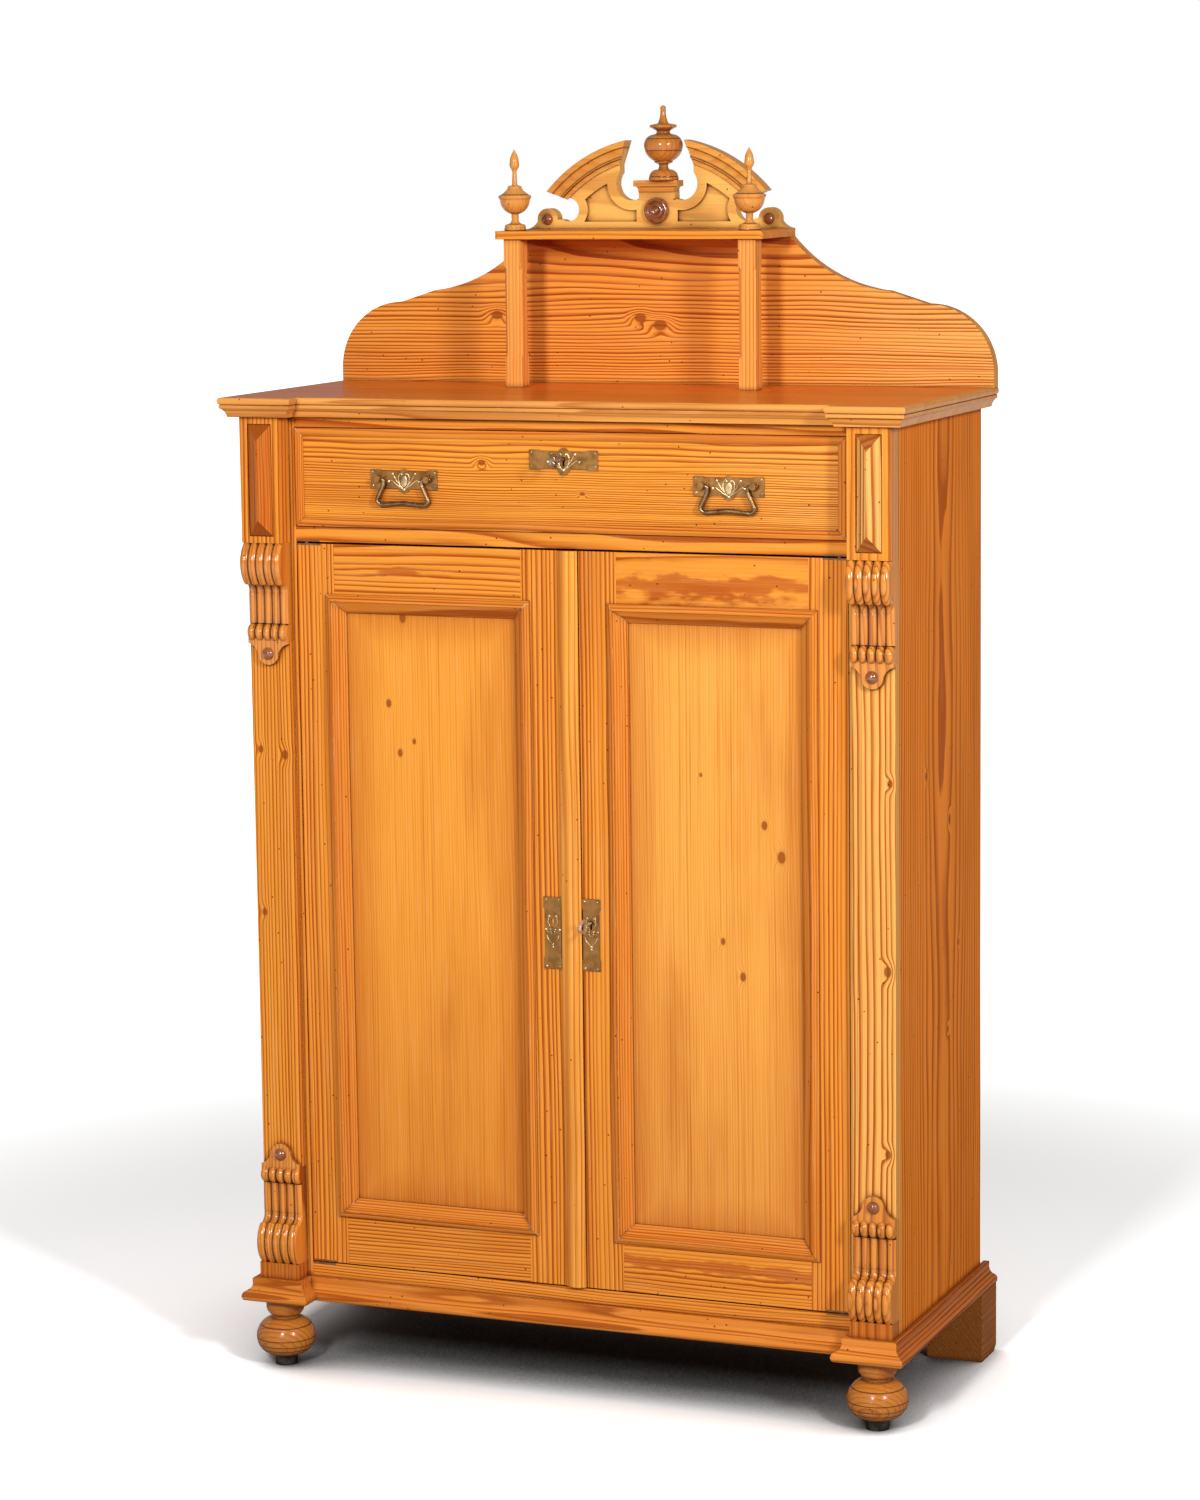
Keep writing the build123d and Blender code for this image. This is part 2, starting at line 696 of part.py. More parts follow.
def make_door(name, side):
    """One frame-and-panel door; side is -1 for the left and 1 for the right."""
    outer = side * (opening_half - door_side_gap)
    meeting = meeting_line + side * meeting_gap / 2
    covered = astragal_width if side < 0 else 0.0
    inner_edge = meeting + side * (meeting_stile_width + covered)
    outer_edge = outer - side * hinge_stile_width
    front, back = depth(0), depth(door_thickness)
    rail_top, rail_bottom = door_top - top_rail_height, door_bottom + bottom_rail_height
    groove_front = depth(panel_recess)
    groove_back = depth(panel_recess + panel_thickness)
    low, high = sorted((inner_edge, outer_edge))

    tongue_low, tongue_high = low - panel_groove_depth, high + panel_groove_depth
    groove = slab(tongue_low, tongue_high, groove_front, groove_back, door_bottom, door_top)
    hinge_stile = slab(outer_edge, outer, front, back, door_bottom, door_top) - groove
    meeting_stile = slab(meeting, inner_edge, front, back, door_bottom, door_top) - groove

    def rail(z0, z1, groove_z0, groove_z1):
        piece = slab(low, high, front, back, z0, z1)
        piece += slab(tongue_low, tongue_high, groove_front, groove_back, z0, z1)
        return piece - slab(
            tongue_low - OVERSIZE, tongue_high + OVERSIZE, groove_front, groove_back, groove_z0, groove_z1
        )

    rails = [
        rail(rail_top, door_top, rail_top, rail_top + panel_groove_depth),
        rail(door_bottom, rail_bottom, rail_bottom - panel_groove_depth, rail_bottom),
    ]
    rim = panel_groove_depth - panel_play
    panel = slab(low - rim, high + rim, groove_front, groove_back, rail_bottom - rim, rail_top + rim)

    pivots = []
    for edge, way in ((door_top, 1), (door_bottom, -1)):
        plate_outer = outer
        plate_inner = outer - side * pivot_plate_length
        z_in = edge - way * pivot_plate_thickness
        pocket = slab(plate_inner, plate_outer, front, depth(pivot_plate_width), z_in, edge)
        hinge_stile -= pocket
        gap = door_top_gap if way > 0 else door_bottom_gap
        length = gap + pivot_plate_thickness + pivot_reach
        pin = Pos(side * hinge_x, hinge_y, edge + way * length / 2) * Cylinder(pivot_radius, length)
        pivots.append(pocket + pin)
    nodes[f"door_{name}_pivots"] = pivots

    key_x = astragal_middle + side * (astragal_width / 2 + door_plate_gap + plate_height / 2)
    key_z = door_escutcheon_z + keyhole_offset
    if side > 0:
        meeting_stile -= key_hole(key_x, key_z, front - OVERSIZE, back + OVERSIZE)
    nodes[f"door_{name}_stiles"] = [hinge_stile, meeting_stile]
    nodes[f"door_{name}_rails"] = rails
    nodes[f"door_{name}_panel"] = [panel]

    width, lip, proud = door_moulding_width, door_moulding_lip, door_moulding_proud
    ridge = door_moulding_ridge - lip
    section = outline([
        (-lip, 0),
        (0, 0),
        (0, -panel_recess),
        (width, -panel_recess),
        (width, -panel_recess + door_moulding_fillet),
        (ridge, proud - door_moulding_step),
        (ridge, proud),
        (-lip, door_moulding_fillet, (proud - door_moulding_fillet) / 4),
    ])
    corners = [
        (high, front, rail_bottom),
        (low, front, rail_bottom),
        (low, front, rail_top),
        (high, front, rail_top),
    ]
    nodes[f"door_{name}_moulding"] = moulding_path(section, corners, up=(0, -1, 0), closed=True)

    plate = Pos(key_x, door_escutcheon_z) * (Rot(0, 0, 90) * plate_shape())
    plate = pressed(plate, front - plate_thickness, front)
    plate -= key_hole(key_x, key_z, front - OVERSIZE, front + OVERSIZE)
    nodes[f"door_{name}_escutcheon"] = [plate]
    if side > 0:
        nodes["door_lock"] = [lock_case(key_x, key_z, back, lock_edge)]
        key = make_key(key_x, key_z, front - plate_thickness, back, door_key_reach, door_key_bow_height)
        nodes["door_key"] = [key]
    else:
        half, flat = astragal_width / 2, 2.0
        round_front = outline([(-half, 0), (half, 0), (half, flat), (-half, flat, astragal_proud - flat)])
        along = Plane(origin=(astragal_middle, front, door_bottom), x_dir=(-1, 0, 0), z_dir=(0, 0, 1))
        nodes["door_astragal"] = [extrude(along * round_front, amount=door_height)]


astragal_middle = meeting_line - meeting_gap / 2 - astragal_width / 2


# ---------------------------------------------------------------- locks, keys and plates
def plate_shape(motif_height=0.0):
    """Front view of a brass plate, lengthways along X, with taller ends and, on some, an oval swelling."""
    shape = Rectangle(plate_length, plate_height - 2 * plate_step)
    for way in (-1, 1):
        shape += Pos(way * (plate_length - plate_end) / 2, 0) * Rectangle(plate_end, plate_height)
    if motif_height:
        shape += Pos(0, -motif_drop) * Ellipse(motif_width / 2, motif_height / 2)
    return shape


def along_y(radius, y_front, y_back, x, z):
    """Cylinder lying front to back."""
    return Pos(x, (y_front + y_back) / 2, z) * Rot(90, 0, 0) * Cylinder(radius, y_back - y_front)


def lock_case(x, z, y_front, left):
    """Steel lock box on the back of a front board: room for the key's bit, and a hole for its tip."""
    y_back = y_front + lock_thickness
    case = slab(x - left, x - left + lock_width, y_front, y_back, z - lock_height / 2, z + lock_height / 2)
    room = key_radius + key_bit_length + lock_wall - 0.3
    case -= along_y(room, y_front - OVERSIZE, y_back - lock_wall, x, z)
    return case - along_y(key_radius + key_clearance, y_front, y_back + OVERSIZE, x, z)


def make_key(x, z, plate_face, board_back, reach, bow_height):
    """Key standing in its lock: shaft along Y, oval bow in front of the plate, bit inside the lock."""
    shaft_front = plate_face - reach
    shaft = along_y(key_radius, shaft_front, board_back + lock_thickness, x, z)
    bit_top = z
    bit = slab(
        x - 1.0, x + 1.0, board_back + 1.0, board_back + 1.0 + key_bit_width,
        bit_top - key_radius - key_bit_length, bit_top,
    )
    bow = Ellipse(key_bow_width / 2, bow_height / 2)
    bow -= Ellipse(key_bow_width / 2 - key_bow_wire, bow_height / 2 - key_bow_wire)
    bow_middle = shaft_front - key_bow_width / 2 + key_bow_wire / 2
    bow_plane = Plane(origin=(x - key_bow_wire / 2, bow_middle, z), x_dir=(0, 1, 0), z_dir=(1, 0, 0))
    return shaft + bit + extrude(bow_plane * bow, amount=key_bow_wire)


# ---------------------------------------------------------------- drawer
def make_drawer():
    half = opening_half - drawer_side_gap
    front, back = depth(-drawer_front_proud), depth(drawer_front_thickness - drawer_front_proud)
    bottom = drawer_rail_top + drawer_bottom_gap
    top = bottom + drawer_front_height
    middle_z = (bottom + top) / 2
    lock_z = middle_z + escutcheon_rise
    rim = beading_width
    seat = front + beading_rebate
    face = slab(-half, half, seat, back, bottom, top)
    face += slab(-half + rim, half - rim, front, seat, bottom + rim, top - rim)
    nodes["drawer_front"] = [face - key_hole(0, lock_z, front - OVERSIZE, back + OVERSIZE)]

    low_edge, high_edge = beading_rebate + beading_proud / 6, beading_rebate + beading_proud * 0.8
    bead = outline([
        (0, 0),
        (rim, 0),
        (rim, low_edge),
        (0, high_edge, beading_proud * 0.7),
    ])
    corners = [(half, seat, bottom), (-half, seat, bottom), (-half, seat, top), (half, seat, top)]
    nodes["drawer_beading"] = moulding_path(bead, corners, up=(0, -1, 0), closed=True)

    rest = drawer_rail_top + drawer_play / 5
    end = depth(drawer_length - drawer_front_proud)
    box_top = rest + drawer_box_height
    side = slab(half - drawer_board, half, back, end, rest, box_top)
    floor = rest + drawer_bottom_rise
    groove = slab(
        -half + drawer_board / 2, half - drawer_board / 2, back, end, floor, floor + drawer_bottom_thickness
    )
    nodes["drawer_sides"] = both_sides(side - groove)
    nodes["drawer_bottom"] = [groove]
    inner = half - drawer_board
    back_bottom = floor + drawer_bottom_thickness
    nodes["drawer_back"] = [slab(-inner, inner, end - drawer_board, end, back_bottom, box_top)]
    nodes["drawer_lock"] = [lock_case(0, lock_z, back, lock_width / 2)]
    key = make_key(0, lock_z, front - plate_thickness, back, drawer_key_reach, drawer_key_bow_height)
    nodes["drawer_key"] = [key]

    plate = Pos(0, lock_z - plate_drop) * plate_shape(escutcheon_motif_height)
    plate = pressed(plate, front - plate_thickness, front)
    nodes["drawer_escutcheon"] = [plate - key_hole(0, lock_z, front - OVERSIZE, front + OVERSIZE)]
    make_pulls(front, middle_z)


def make_pulls(front, middle_z):
    face = front - plate_thickness
    axis_y = face - bail_stand_off
    plates = []
    for way, name in ((-1, "left"), (1, "right")):
        x = way * pull_spacing / 2
        plate = pressed(Pos(x, middle_z - plate_drop) * plate_shape(pull_motif_height), face, front)
        for post_way in (-1, 1):
            post_x = x + post_way * pull_span / 2
            length = bail_stand_off + post_radius
            plate += along_y(post_radius, face - length, face, post_x, middle_z)
            plate -= Pos(post_x, axis_y, middle_z) * Rot(0, 90, 0) * Cylinder(
                bail_radius + bail_clearance, 2 * post_radius + 2.0
            )
        plates.append(plate)
        nodes[f"bail_{name}"] = [Pos(x, axis_y, middle_z) * bail_shape()]
    nodes["pull_plates"] = plates


def bail_shape():
    """Hanging handle: stubs in the posts, arms that pinch in and flare out, and an arched grip."""
    half = pull_span / 2
    stub = half + post_radius + 1.5
    shoulder = half - post_radius - 2.5
    knee_z = -bail_drop
    arch = bail_drop * 0.09
    points = [
        (stub, 0),
        (shoulder - 1.0, 0),
        (shoulder - 1.5, -8.0),
        (bail_knee, knee_z + 6.0),
        (bail_knee - 6.0, knee_z),
        (0, knee_z + arch),
    ]
    route = [(x, 0, z) for x, z in points] + [(-x, 0, z) for x, z in reversed(points[:-1])]
    bends = [3.0, 4.0, 4.0, 5.0, 60.0, 5.0, 4.0, 4.0, 3.0]
    path = FilletPolyline(*route, radius=bends)
    section = Plane(origin=path @ 0, z_dir=path % 0) * Circle(bail_radius)
    return sweep(section, path=path)


# ---------------------------------------------------------------- gallery
def make_gallery():
    base, shelf_z = worktop_top, gallery_shelf_bottom
    half = half_width + top_side_overhang - 1.0
    shelf_half = gallery_shelf_width / 2
    radius, rise = gallery_shoulder_radius, gallery_shoulder_rise
    shoulder_x, shoulder_z = half - radius, base + rise + radius
    sweep_x = shelf_half + gallery_sweep_width
    sweep_z = shelf_z - gallery_sweep_drop
    quarter = radius * (1 - math.cos(math.radians(45)))
    half_shape = outline([
        (0, base),
        (half, base),
        (half, base + rise),
        (shoulder_x, shoulder_z, quarter),
        (sweep_x, sweep_z),
        (shelf_half, shelf_z, -gallery_sweep_hollow),
        (0, shelf_z),
    ])
    board = half_shape + mirror(half_shape, about=Plane.YZ)
    nodes["gallery_back"] = [pressed(board, depth(carcass_depth - gallery_thickness), depth(carcass_depth))]

    shelf_front = depth(carcass_depth - gallery_shelf_depth)
    shelf = slab(-shelf_half, shelf_half, shelf_front, depth(carcass_depth), shelf_z, gallery_shelf_top)
    corners = shelf.edges().filter_by(Axis.Z).sort_by(Axis.Y)[:2]
    nodes["gallery_shelf"] = [fillet(corners, radius=shelf_corner_radius)]

    post_y = shelf_front + post_setback + post_size / 2
    post = Pos(post_spacing / 2, post_y, base) * chamfered_post()
    nodes["gallery_posts"] = both_sides(post)
    nodes["gallery_finials"] = both_sides(Pos(post_spacing / 2, post_y, gallery_shelf_top) * finial())


def chamfered_post():
    """Square post whose corners are planed off between stops."""
    half, height = post_size / 2, gallery_rise
    across = half * math.sqrt(2)
    flat = across - post_chamfer / math.sqrt(2)
    low, high = post_plain_foot, height - post_plain_head
    waist = outline([
        (-across - 1, 0), (across + 1, 0), (across + 1, low - 3), (flat, low + 3), (flat, high - 3),
        (across + 1, high + 3), (across + 1, height), (-across - 1, height), (-across - 1, high + 3),
        (-flat, high - 3), (-flat, low + 3), (-across - 1, low - 3),
    ])
    post = Pos(0, 0, height / 2) * Box(post_size, post_size, height)
    for angle in (45, 135):
        post &= Rot(0, 0, angle) * pressed(waist, -post_size, post_size)
    return post


def finial():
    """Turned finial: foot, ogee cup with a sharp rim, and a long bud on a thin neck."""
    k = finial_height / 121.0
    rim = finial_rim_radius
    return turned([
        (0, 0),
        (15.5, 0),
        (15.5, 5 * k, 1.0),
        (12, 10 * k, 1.6),
        (5.4, 19 * k, -2.6),
        (5.4, 25 * k),
        (rim - 2, 46 * k, 4.5),
        (rim, 49 * k),
        (rim, 52 * k),
        (10.5, 63 * k, -1.2),
        (10.5, 66 * k),
        (4.0, 68 * k),
        (3.0, 88 * k),
        (4.2, 89 * k),
        (4.2, 91 * k),
        (6.8, 101 * k, 1.6),
        (2.0, 117 * k, 1.2),
        (0, 121 * k),
    ])


def urn():
    """Turned urn: domed foot, waisted stem, round body, disc and spire."""
    k = urn_height / 111.0
    body = urn_radius
    return turned([
        (0, 0),
        (21.8, 0),
        (21.8, 5 * k, 0.8),
        (8.4, 16 * k, 3.6),
        (7.0, 20 * k),
        (8.4, 24 * k, -0.6),
        (13.2, 26 * k),
        (13.2, 28 * k, 0.8),
        (body, 51 * k, 4.2),
        (14.6, 68 * k, 4.6),
        (11.4, 69 * k),
        (11.4, 74 * k, -1.4),
        (19.4, 78 * k),
        (19.4, 82 * k, 1.1),
        (8.0, 84.5 * k),
        (4.2, 107 * k, -1.6),
        (2.5, 110 * k, 0.5),
        (0, 111 * k),
    ])


# ---------------------------------------------------------------- crest
def make_crest():
    base = gallery_shelf_top
    centre_z = base + arch_end_rise - math.sqrt(arch_radius ** 2 - arch_end_outer ** 2)
    board_radius = arch_radius - arch_fascia
    front, back = depth(carcass_depth - crest_thickness), depth(carcass_depth)
    pedestal_z = base + pedestal_height
    gap = arch_gap / 2

    def on_arch(x, radius):
        return centre_z + math.sqrt(radius ** 2 - x ** 2)

    inner = arch_radius - arch_width
    low_inner = (arch_end_inner, on_arch(arch_end_inner, inner))
    low_outer = (arch_end_outer, on_arch(arch_end_outer, arch_radius))
    high_outer = (gap, on_arch(gap, arch_radius))
    high_inner = (gap + arch_undercut, on_arch(gap + arch_undercut, inner))
    sky = centre_z + arch_radius + OVERSIZE
    foot_z = base + scroll_disc_rise
    half_shape = outline([
        (0, base),
        (notch_offset, base),
        low_inner,
        low_outer,
        (arch_end_outer, sky),
        (gap, sky),
        high_outer,
        high_inner,
        (gap + arch_undercut, base + hollow_rise),
        (pedestal_half_width, base + hollow_rise - hollow_radius),
        (pedestal_half_width, pedestal_z),
        (0, pedestal_z),
    ])
    half_shape = half_shape & (Pos(0, centre_z) * Circle(board_radius))
    notch = Pos(notch_offset, base + notch_rise) * Circle(notch_radius)
    hollow = Pos(hollow_offset, base + hollow_rise) * Circle(hollow_radius)
    pedestal = Pos(0, base + pedestal_height / 2) * Rectangle(2 * pedestal_half_width, pedestal_height)
    half_shape -= hollow - pedestal
    scroll = Pos(scroll_disc_offset, foot_z) * Circle(scroll_disc_radius)
    scroll &= Pos(0, base) * Rectangle(2 * arch_radius, 2 * arch_radius, align=(Align.CENTER, Align.MIN))
    half_shape += scroll + outline([
        (0, base),
        (crest_half_width, base),
        (scroll_disc_offset + scroll_disc_radius - 2, foot_z, -3.0),
        (0, foot_z),
    ])
    half_shape -= notch
    board = pressed(half_shape + mirror(half_shape, about=Plane.YZ), front, back)

    recess = Pos(0, centre_z) * Circle(inner - recess_border)
    recess -= Pos(hollow_offset, base + hollow_rise) * Circle(hollow_radius + hollow_border)
    recess -= Pos(notch_offset, base + notch_rise) * Circle(notch_radius + notch_border)
    window = Pos(recess_offset, base + recess_floor_rise) * Rectangle(
        notch_offset - recess_offset, arch_radius, align=(Align.MIN, Align.MIN)
    )
    recess &= window
    for sunk in both_sides(pressed(recess, front - OVERSIZE, front + recess_depth)):
        board -= sunk
    nodes["crest_board"] = [board]

    face, proud = -crest_thickness, -crest_thickness - arch_proud
    band = arch_radius - arch_band
    bead = band - arch_cove
    section = outline([
        (board_radius, 0),
        (arch_radius, 0),
        (arch_radius, proud),
        (band, proud),
        (band, face - arch_proud * 0.85),
        (bead, face - arch_proud * 0.45, -arch_proud * 0.15),
        (bead, face - arch_proud * 0.60),
        (bead - arch_bead, face - arch_proud * 0.60, arch_proud * 0.10),
        (bead - arch_bead, face - arch_proud * 0.35),
        (inner, face - arch_proud * 0.25),
        (inner, face),
        (board_radius, face),
    ])
    ring = revolve(section, axis=Axis.Y, revolution_arc=360)
    ring = Pos(0, back, centre_z) * ring
    keep = outline([
        low_inner,
        low_outer,
        (arch_radius, low_outer[1]),
        (arch_radius, sky),
        (gap, sky),
        high_outer,
        high_inner,
    ])
    keep = pressed(keep, front - 2 * arch_proud, back + OVERSIZE)
    nodes["crest_arches"] = both_sides(ring & keep)

    cap_front = front - cap_proud
    cap_half = cap_width / 2
    cap_z = pedestal_z + cap_cove
    cap = slab(-cap_half, cap_half, cap_front, back, cap_z, cap_z + cap_thickness)
    cove = outline([
        (-pedestal_half_width, pedestal_z),
        (pedestal_half_width, pedestal_z),
        (cap_half - 2.0, cap_z, -2.0),
        (-cap_half + 2.0, cap_z),
        (-pedestal_half_width, pedestal_z, -2.0),
    ])
    cap += pressed(cove, cap_front + 4.0, back)
    nodes["crest_cap"] = [cap]
    urn_y = depth(carcass_depth - urn_inset)
    nodes["crest_urn"] = [Pos(urn_offset, urn_y, cap_z + cap_thickness) * urn()]

    ring_step = roundel_radius / 5
    roundel = turned([
        (0, 0),
        (roundel_radius, 0),
        (roundel_radius, roundel_thickness * 0.5),
        (roundel_radius - ring_step, roundel_thickness, 1.2),
        (roundel_radius - 2 * ring_step, roundel_thickness * 0.5, -0.8),
        (roundel_radius - 3 * ring_step, roundel_thickness * 0.8, 0.6),
        (roundel_radius - 4 * ring_step, roundel_thickness * 0.5, -0.6),
        (roundel_radius - 4.3 * ring_step, roundel_thickness * 0.9, 0.4),
        (0, roundel_thickness),
    ])
    boss = dome(crest_boss_radius, crest_boss_radius * 0.7)
    face = Rot(90, 0, 0)
    return [Pos(0, front, base + roundel_rise) * face * roundel] + both_sides(
        Pos(scroll_disc_offset, front, foot_z) * face * boss
    )


make_carcass()
make_pilasters()
corbel_bosses = make_corbels()
make_plinth()
make_feet()
make_worktop()
make_door("left", -1)
make_door("right", 1)
make_drawer()
make_gallery()
nodes["turned_bosses"] = corbel_bosses + make_crest()

os.makedirs("parts", exist_ok=True)
for node, pieces in nodes.items():
    solids = [solid for piece in pieces for solid in piece.solids()]
    shape = solids[0] if len(solids) == 1 else Compound(children=solids)
    export_step(shape, f"parts/{node}.step")
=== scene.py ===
"""Looks of a waxed pine cabinet with a gallery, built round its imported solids. Metres, +Z up, doors face -Y."""
import math

import bmesh
import bpy
from mathutils import Matrix, Vector


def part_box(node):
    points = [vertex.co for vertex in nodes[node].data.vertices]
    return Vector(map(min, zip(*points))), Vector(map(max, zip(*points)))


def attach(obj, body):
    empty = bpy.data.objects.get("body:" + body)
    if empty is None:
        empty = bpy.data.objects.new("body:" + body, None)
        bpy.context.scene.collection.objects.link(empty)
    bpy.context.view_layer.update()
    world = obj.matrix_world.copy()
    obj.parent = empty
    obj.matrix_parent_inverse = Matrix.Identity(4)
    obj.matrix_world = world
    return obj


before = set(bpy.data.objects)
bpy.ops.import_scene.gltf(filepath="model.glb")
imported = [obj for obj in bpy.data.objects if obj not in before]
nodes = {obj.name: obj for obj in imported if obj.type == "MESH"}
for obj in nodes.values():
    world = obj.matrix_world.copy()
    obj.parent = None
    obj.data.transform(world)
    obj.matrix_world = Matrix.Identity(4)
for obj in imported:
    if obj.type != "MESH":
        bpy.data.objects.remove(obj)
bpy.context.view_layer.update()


# ---------------------------------------------------------------- carcass
# Two boarded sides, corner stiles, rails and thin inner boards, all of pine, glued and nailed.
# The show wood is rubbed down and waxed to a warm orange; the grain of each board runs along it.
class Signal:
    """One output of a finish's nodes. Sums on it add Math nodes."""

    def __init__(self, finish, socket):
        self.finish = finish
        self.socket = socket

    def maths(self, operation, *terms):
        return self.finish.node("ShaderNodeMath", {"operation": operation}, terms)

    def __add__(self, other):
        return self.maths("ADD", self, other)

    __radd__ = __add__

    def __sub__(self, other):
        return self.maths("SUBTRACT", self, other)

    def __rsub__(self, other):
        return self.maths("SUBTRACT", other, self)

    def __mul__(self, other):
        return self.maths("MULTIPLY", self, other)

    __rmul__ = __mul__

    def __truediv__(self, other):
        return self.maths("DIVIDE", self, other)

    def __abs__(self):
        return self.maths("ABSOLUTE", self)

    def root(self):
        return self.maths("SQRT", self)

    def floor(self):
        return self.maths("FLOOR", self)

    def part(self):
        """What is left over a whole number."""
        return self.maths("FRACT", self)

    def least(self, other):
        return self.maths("MINIMUM", self, other)

    def most(self, other):
        return self.maths("MAXIMUM", self, other)

    def ease(self, low, high):
        """0 at low, 1 at high, smooth between."""
        sockets = {"Value": self, "From Min": low, "From Max": high}
        return self.finish.node("ShaderNodeMapRange", {"interpolation_type": "SMOOTHSTEP"}, sockets)


def distance(one_way, other_way):
    """How far off a point is that lies so far one way and so far the other."""
    return (one_way * one_way + other_way * other_way).root()


class Finish:
    """The nodes of a material, or of the world round the cabinet."""

    def __init__(self, owner):
        self.owner = owner
        owner.use_nodes = True
        self.tree = owner.node_tree
        self.tree.nodes.clear()

    def node(self, kind, settings=None, sockets=(), output=0):
        """Adds a node. Its settings are set first, then the values or links of its sockets."""
        made = self.tree.nodes.new(kind)
        for key, value in (settings or {}).items():
            if key == "stops":
                for place, (at, colour) in enumerate(value):
                    stops = made.color_ramp.elements
                    stop = stops[place] if place < len(stops) else stops.new(at)
                    stop.position = at
                    stop.color = colour
            else:
                setattr(made, key, value)
        pairs = sockets.items() if isinstance(sockets, dict) else enumerate(sockets)
        for key, value in pairs:
            if isinstance(value, Signal):
                self.tree.links.new(value.socket, made.inputs[key])
            else:
                made.inputs[key].default_value = value
        return Signal(self, made.outputs[output])

    def parts(self, vector):
        """x, y and z of a vector."""
        return [self.node("ShaderNodeSeparateXYZ", None, {0: vector}, axis) for axis in range(3)]

    def place(self):
        """x, y and z of the shaded point."""
        return self.parts(self.node("ShaderNodeTexCoord", output="Object"))

    def join(self, x, y, z):
        return self.node("ShaderNodeCombineXYZ", None, (x, y, z))

    def noise(self, spot, scale=1.0, detail=2.0):
        """Smooth noise, about -0.5 to 0.5."""
        return self.node("ShaderNodeTexNoise", None, {"Vector": spot, "Scale": scale, "Detail": detail}) - 0.5

    def blend(self, amount, under, over):
        """A colour over another. The Mix node's colours go in at sockets 6 and 7 and come out at 2."""
        return self.node("ShaderNodeMix", {"data_type": "RGBA"}, {0: amount, 6: under, 7: over}, 2)

    def openness(self, reach, samples=4):
        """1 in the open, 0 deep in a corner."""
        return self.node("ShaderNodeAmbientOcclusion", {"samples": samples}, {"Distance": reach}, "AO")

    def rounding(self, radius):
        """Normal with softened edges, and how near an edge the point is."""
        soft = self.node("ShaderNodeBevel", {"samples": 4}, {"Radius": radius})
        flat = self.node("ShaderNodeNewGeometry", output="Normal")
        along = self.node("ShaderNodeVectorMath", {"operation": "DOT_PRODUCT"}, (soft, flat), "Value")
        return soft, (1 - along).ease(0.02, 0.25)

    def close(self, colour, rough, height, depth, soft, metallic=0.0, coat=0.0, shine=0.5):
        """Ends in one shader with relief: height times depth, in metres, on a softened normal."""
        bump = {"Height": height, "Distance": depth, "Strength": 1.0, "Normal": soft}
        relief = self.node("ShaderNodeBump", None, bump)
        shader = self.node("ShaderNodeBsdfPrincipled", None, {
            "Base Color": colour, "Roughness": rough, "Metallic": metallic, "Normal": relief,
            "Coat Weight": coat, "Coat Roughness": 0.12, "Specular IOR Level": shine})
        return self.end("ShaderNodeOutputMaterial", shader)

    def end(self, kind, shader):
        output = self.tree.nodes.new(kind)
        self.tree.links.new(shader.socket, output.inputs["Surface"])
        return self.owner


HONEY = (0.90, 0.325, 0.038, 1)      # spring wood under wax
AMBER = (0.43, 0.080, 0.005, 1)      # summer wood
HEART = (0.50, 0.105, 0.012, 1)      # heartwood
KNOT = (0.30, 0.062, 0.006, 1)
GRIME_AND_SHADE = (0.085, 0.018, 0.004, 1)     # old wax and dust, and painted shade in corners
CHIP = (0.93, 0.60, 0.28, 1)         # rubbed edges
SPLINTER = (0.95, 0.78, 0.52, 1)     # bare wood at chipped mitres
PAINTED_RIGHT_LIGHT = (0.98, 0.54, 0.15, 1)         # painted light, paler on the right side of a piece
# Places in x, y, z of the directions along, across and through a board, by its grain's run.
GRAIN_AXES = {"x": (0, 2, 1), "y": (1, 2, 0), "z": (2, 0, 1), "z_side": (2, 1, 0)}
# How dark a ring is from the spring of one year to the next.
RING_TONES = ((0.0, 0.0), (0.40, 0.08), (0.68, 0.60), (0.80, 1.0), (0.93, 1.0), (1.0, 0.0))
# How often each pattern changes in a metre along the grain, and in a metre across it.
SLOW_WAVES = (1.1, 4.0)
QUICK_WAVES = (5.0, 38.0)
FLAMES = (26.0, 70.0)
PATCHES = (2.0, 9.0)
THREADS = (1.6, 310.0)
STREAKS = (9.0, 620.0)
QUICK_WANDER = 0.0022
BRIGHT_END = (0.15, 0.45)            # x where the painted light on the right side sets in and is full
BOARD_STEP = (0.037, 1.7)            # how far apart neighbouring boards lie in the tree, across and along
KNOT_FLATTENING = math.sqrt(0.45)    # a knot's width over its length
WORM_HOLES = 52.0                    # cells in a metre, with at most one hole in each
SCORED_LINE = (0.0010, 0.0002)       # half widths at which a turned line begins and is darkest
ARCHED_LINE = (0.0016, 0.0005)
ROUNDED_EDGE = 0.0012
GRAIN_DEPTH = 0.00035


def round_knots(knots, across, along):
    """How far knots push the rings aside, and how dark they are."""
    push = 0.0
    dark = 0.0
    for knot_across, knot_along, radius in knots:
        gap = distance(across - knot_across, (along - knot_along) * KNOT_FLATTENING)
        near = gap.ease(radius * 4.0, radius * 0.6)
        push = push + near * near * (radius * 0.9)
        dark = dark + gap.ease(radius * 1.12, radius * 0.72) + gap.ease(radius * 1.9, radius) * 0.35
    return push, dark


def round_hearts(hearts, across, along, flame):
    """How far streaks of heartwood push the rings aside, and how red they are."""
    push = 0.0
    red = 0.0
    for heart_across, heart_along, half_width, half_length in hearts:
        off = distance((across - heart_across) / half_width, (along - heart_along) / half_length) + flame * 2.2
        push = push + off.ease(2.6, 0.1) * (half_width * 0.45)
        red = red + off.ease(1.15, 0.70) * 0.95
    return push, red.least(1.0)


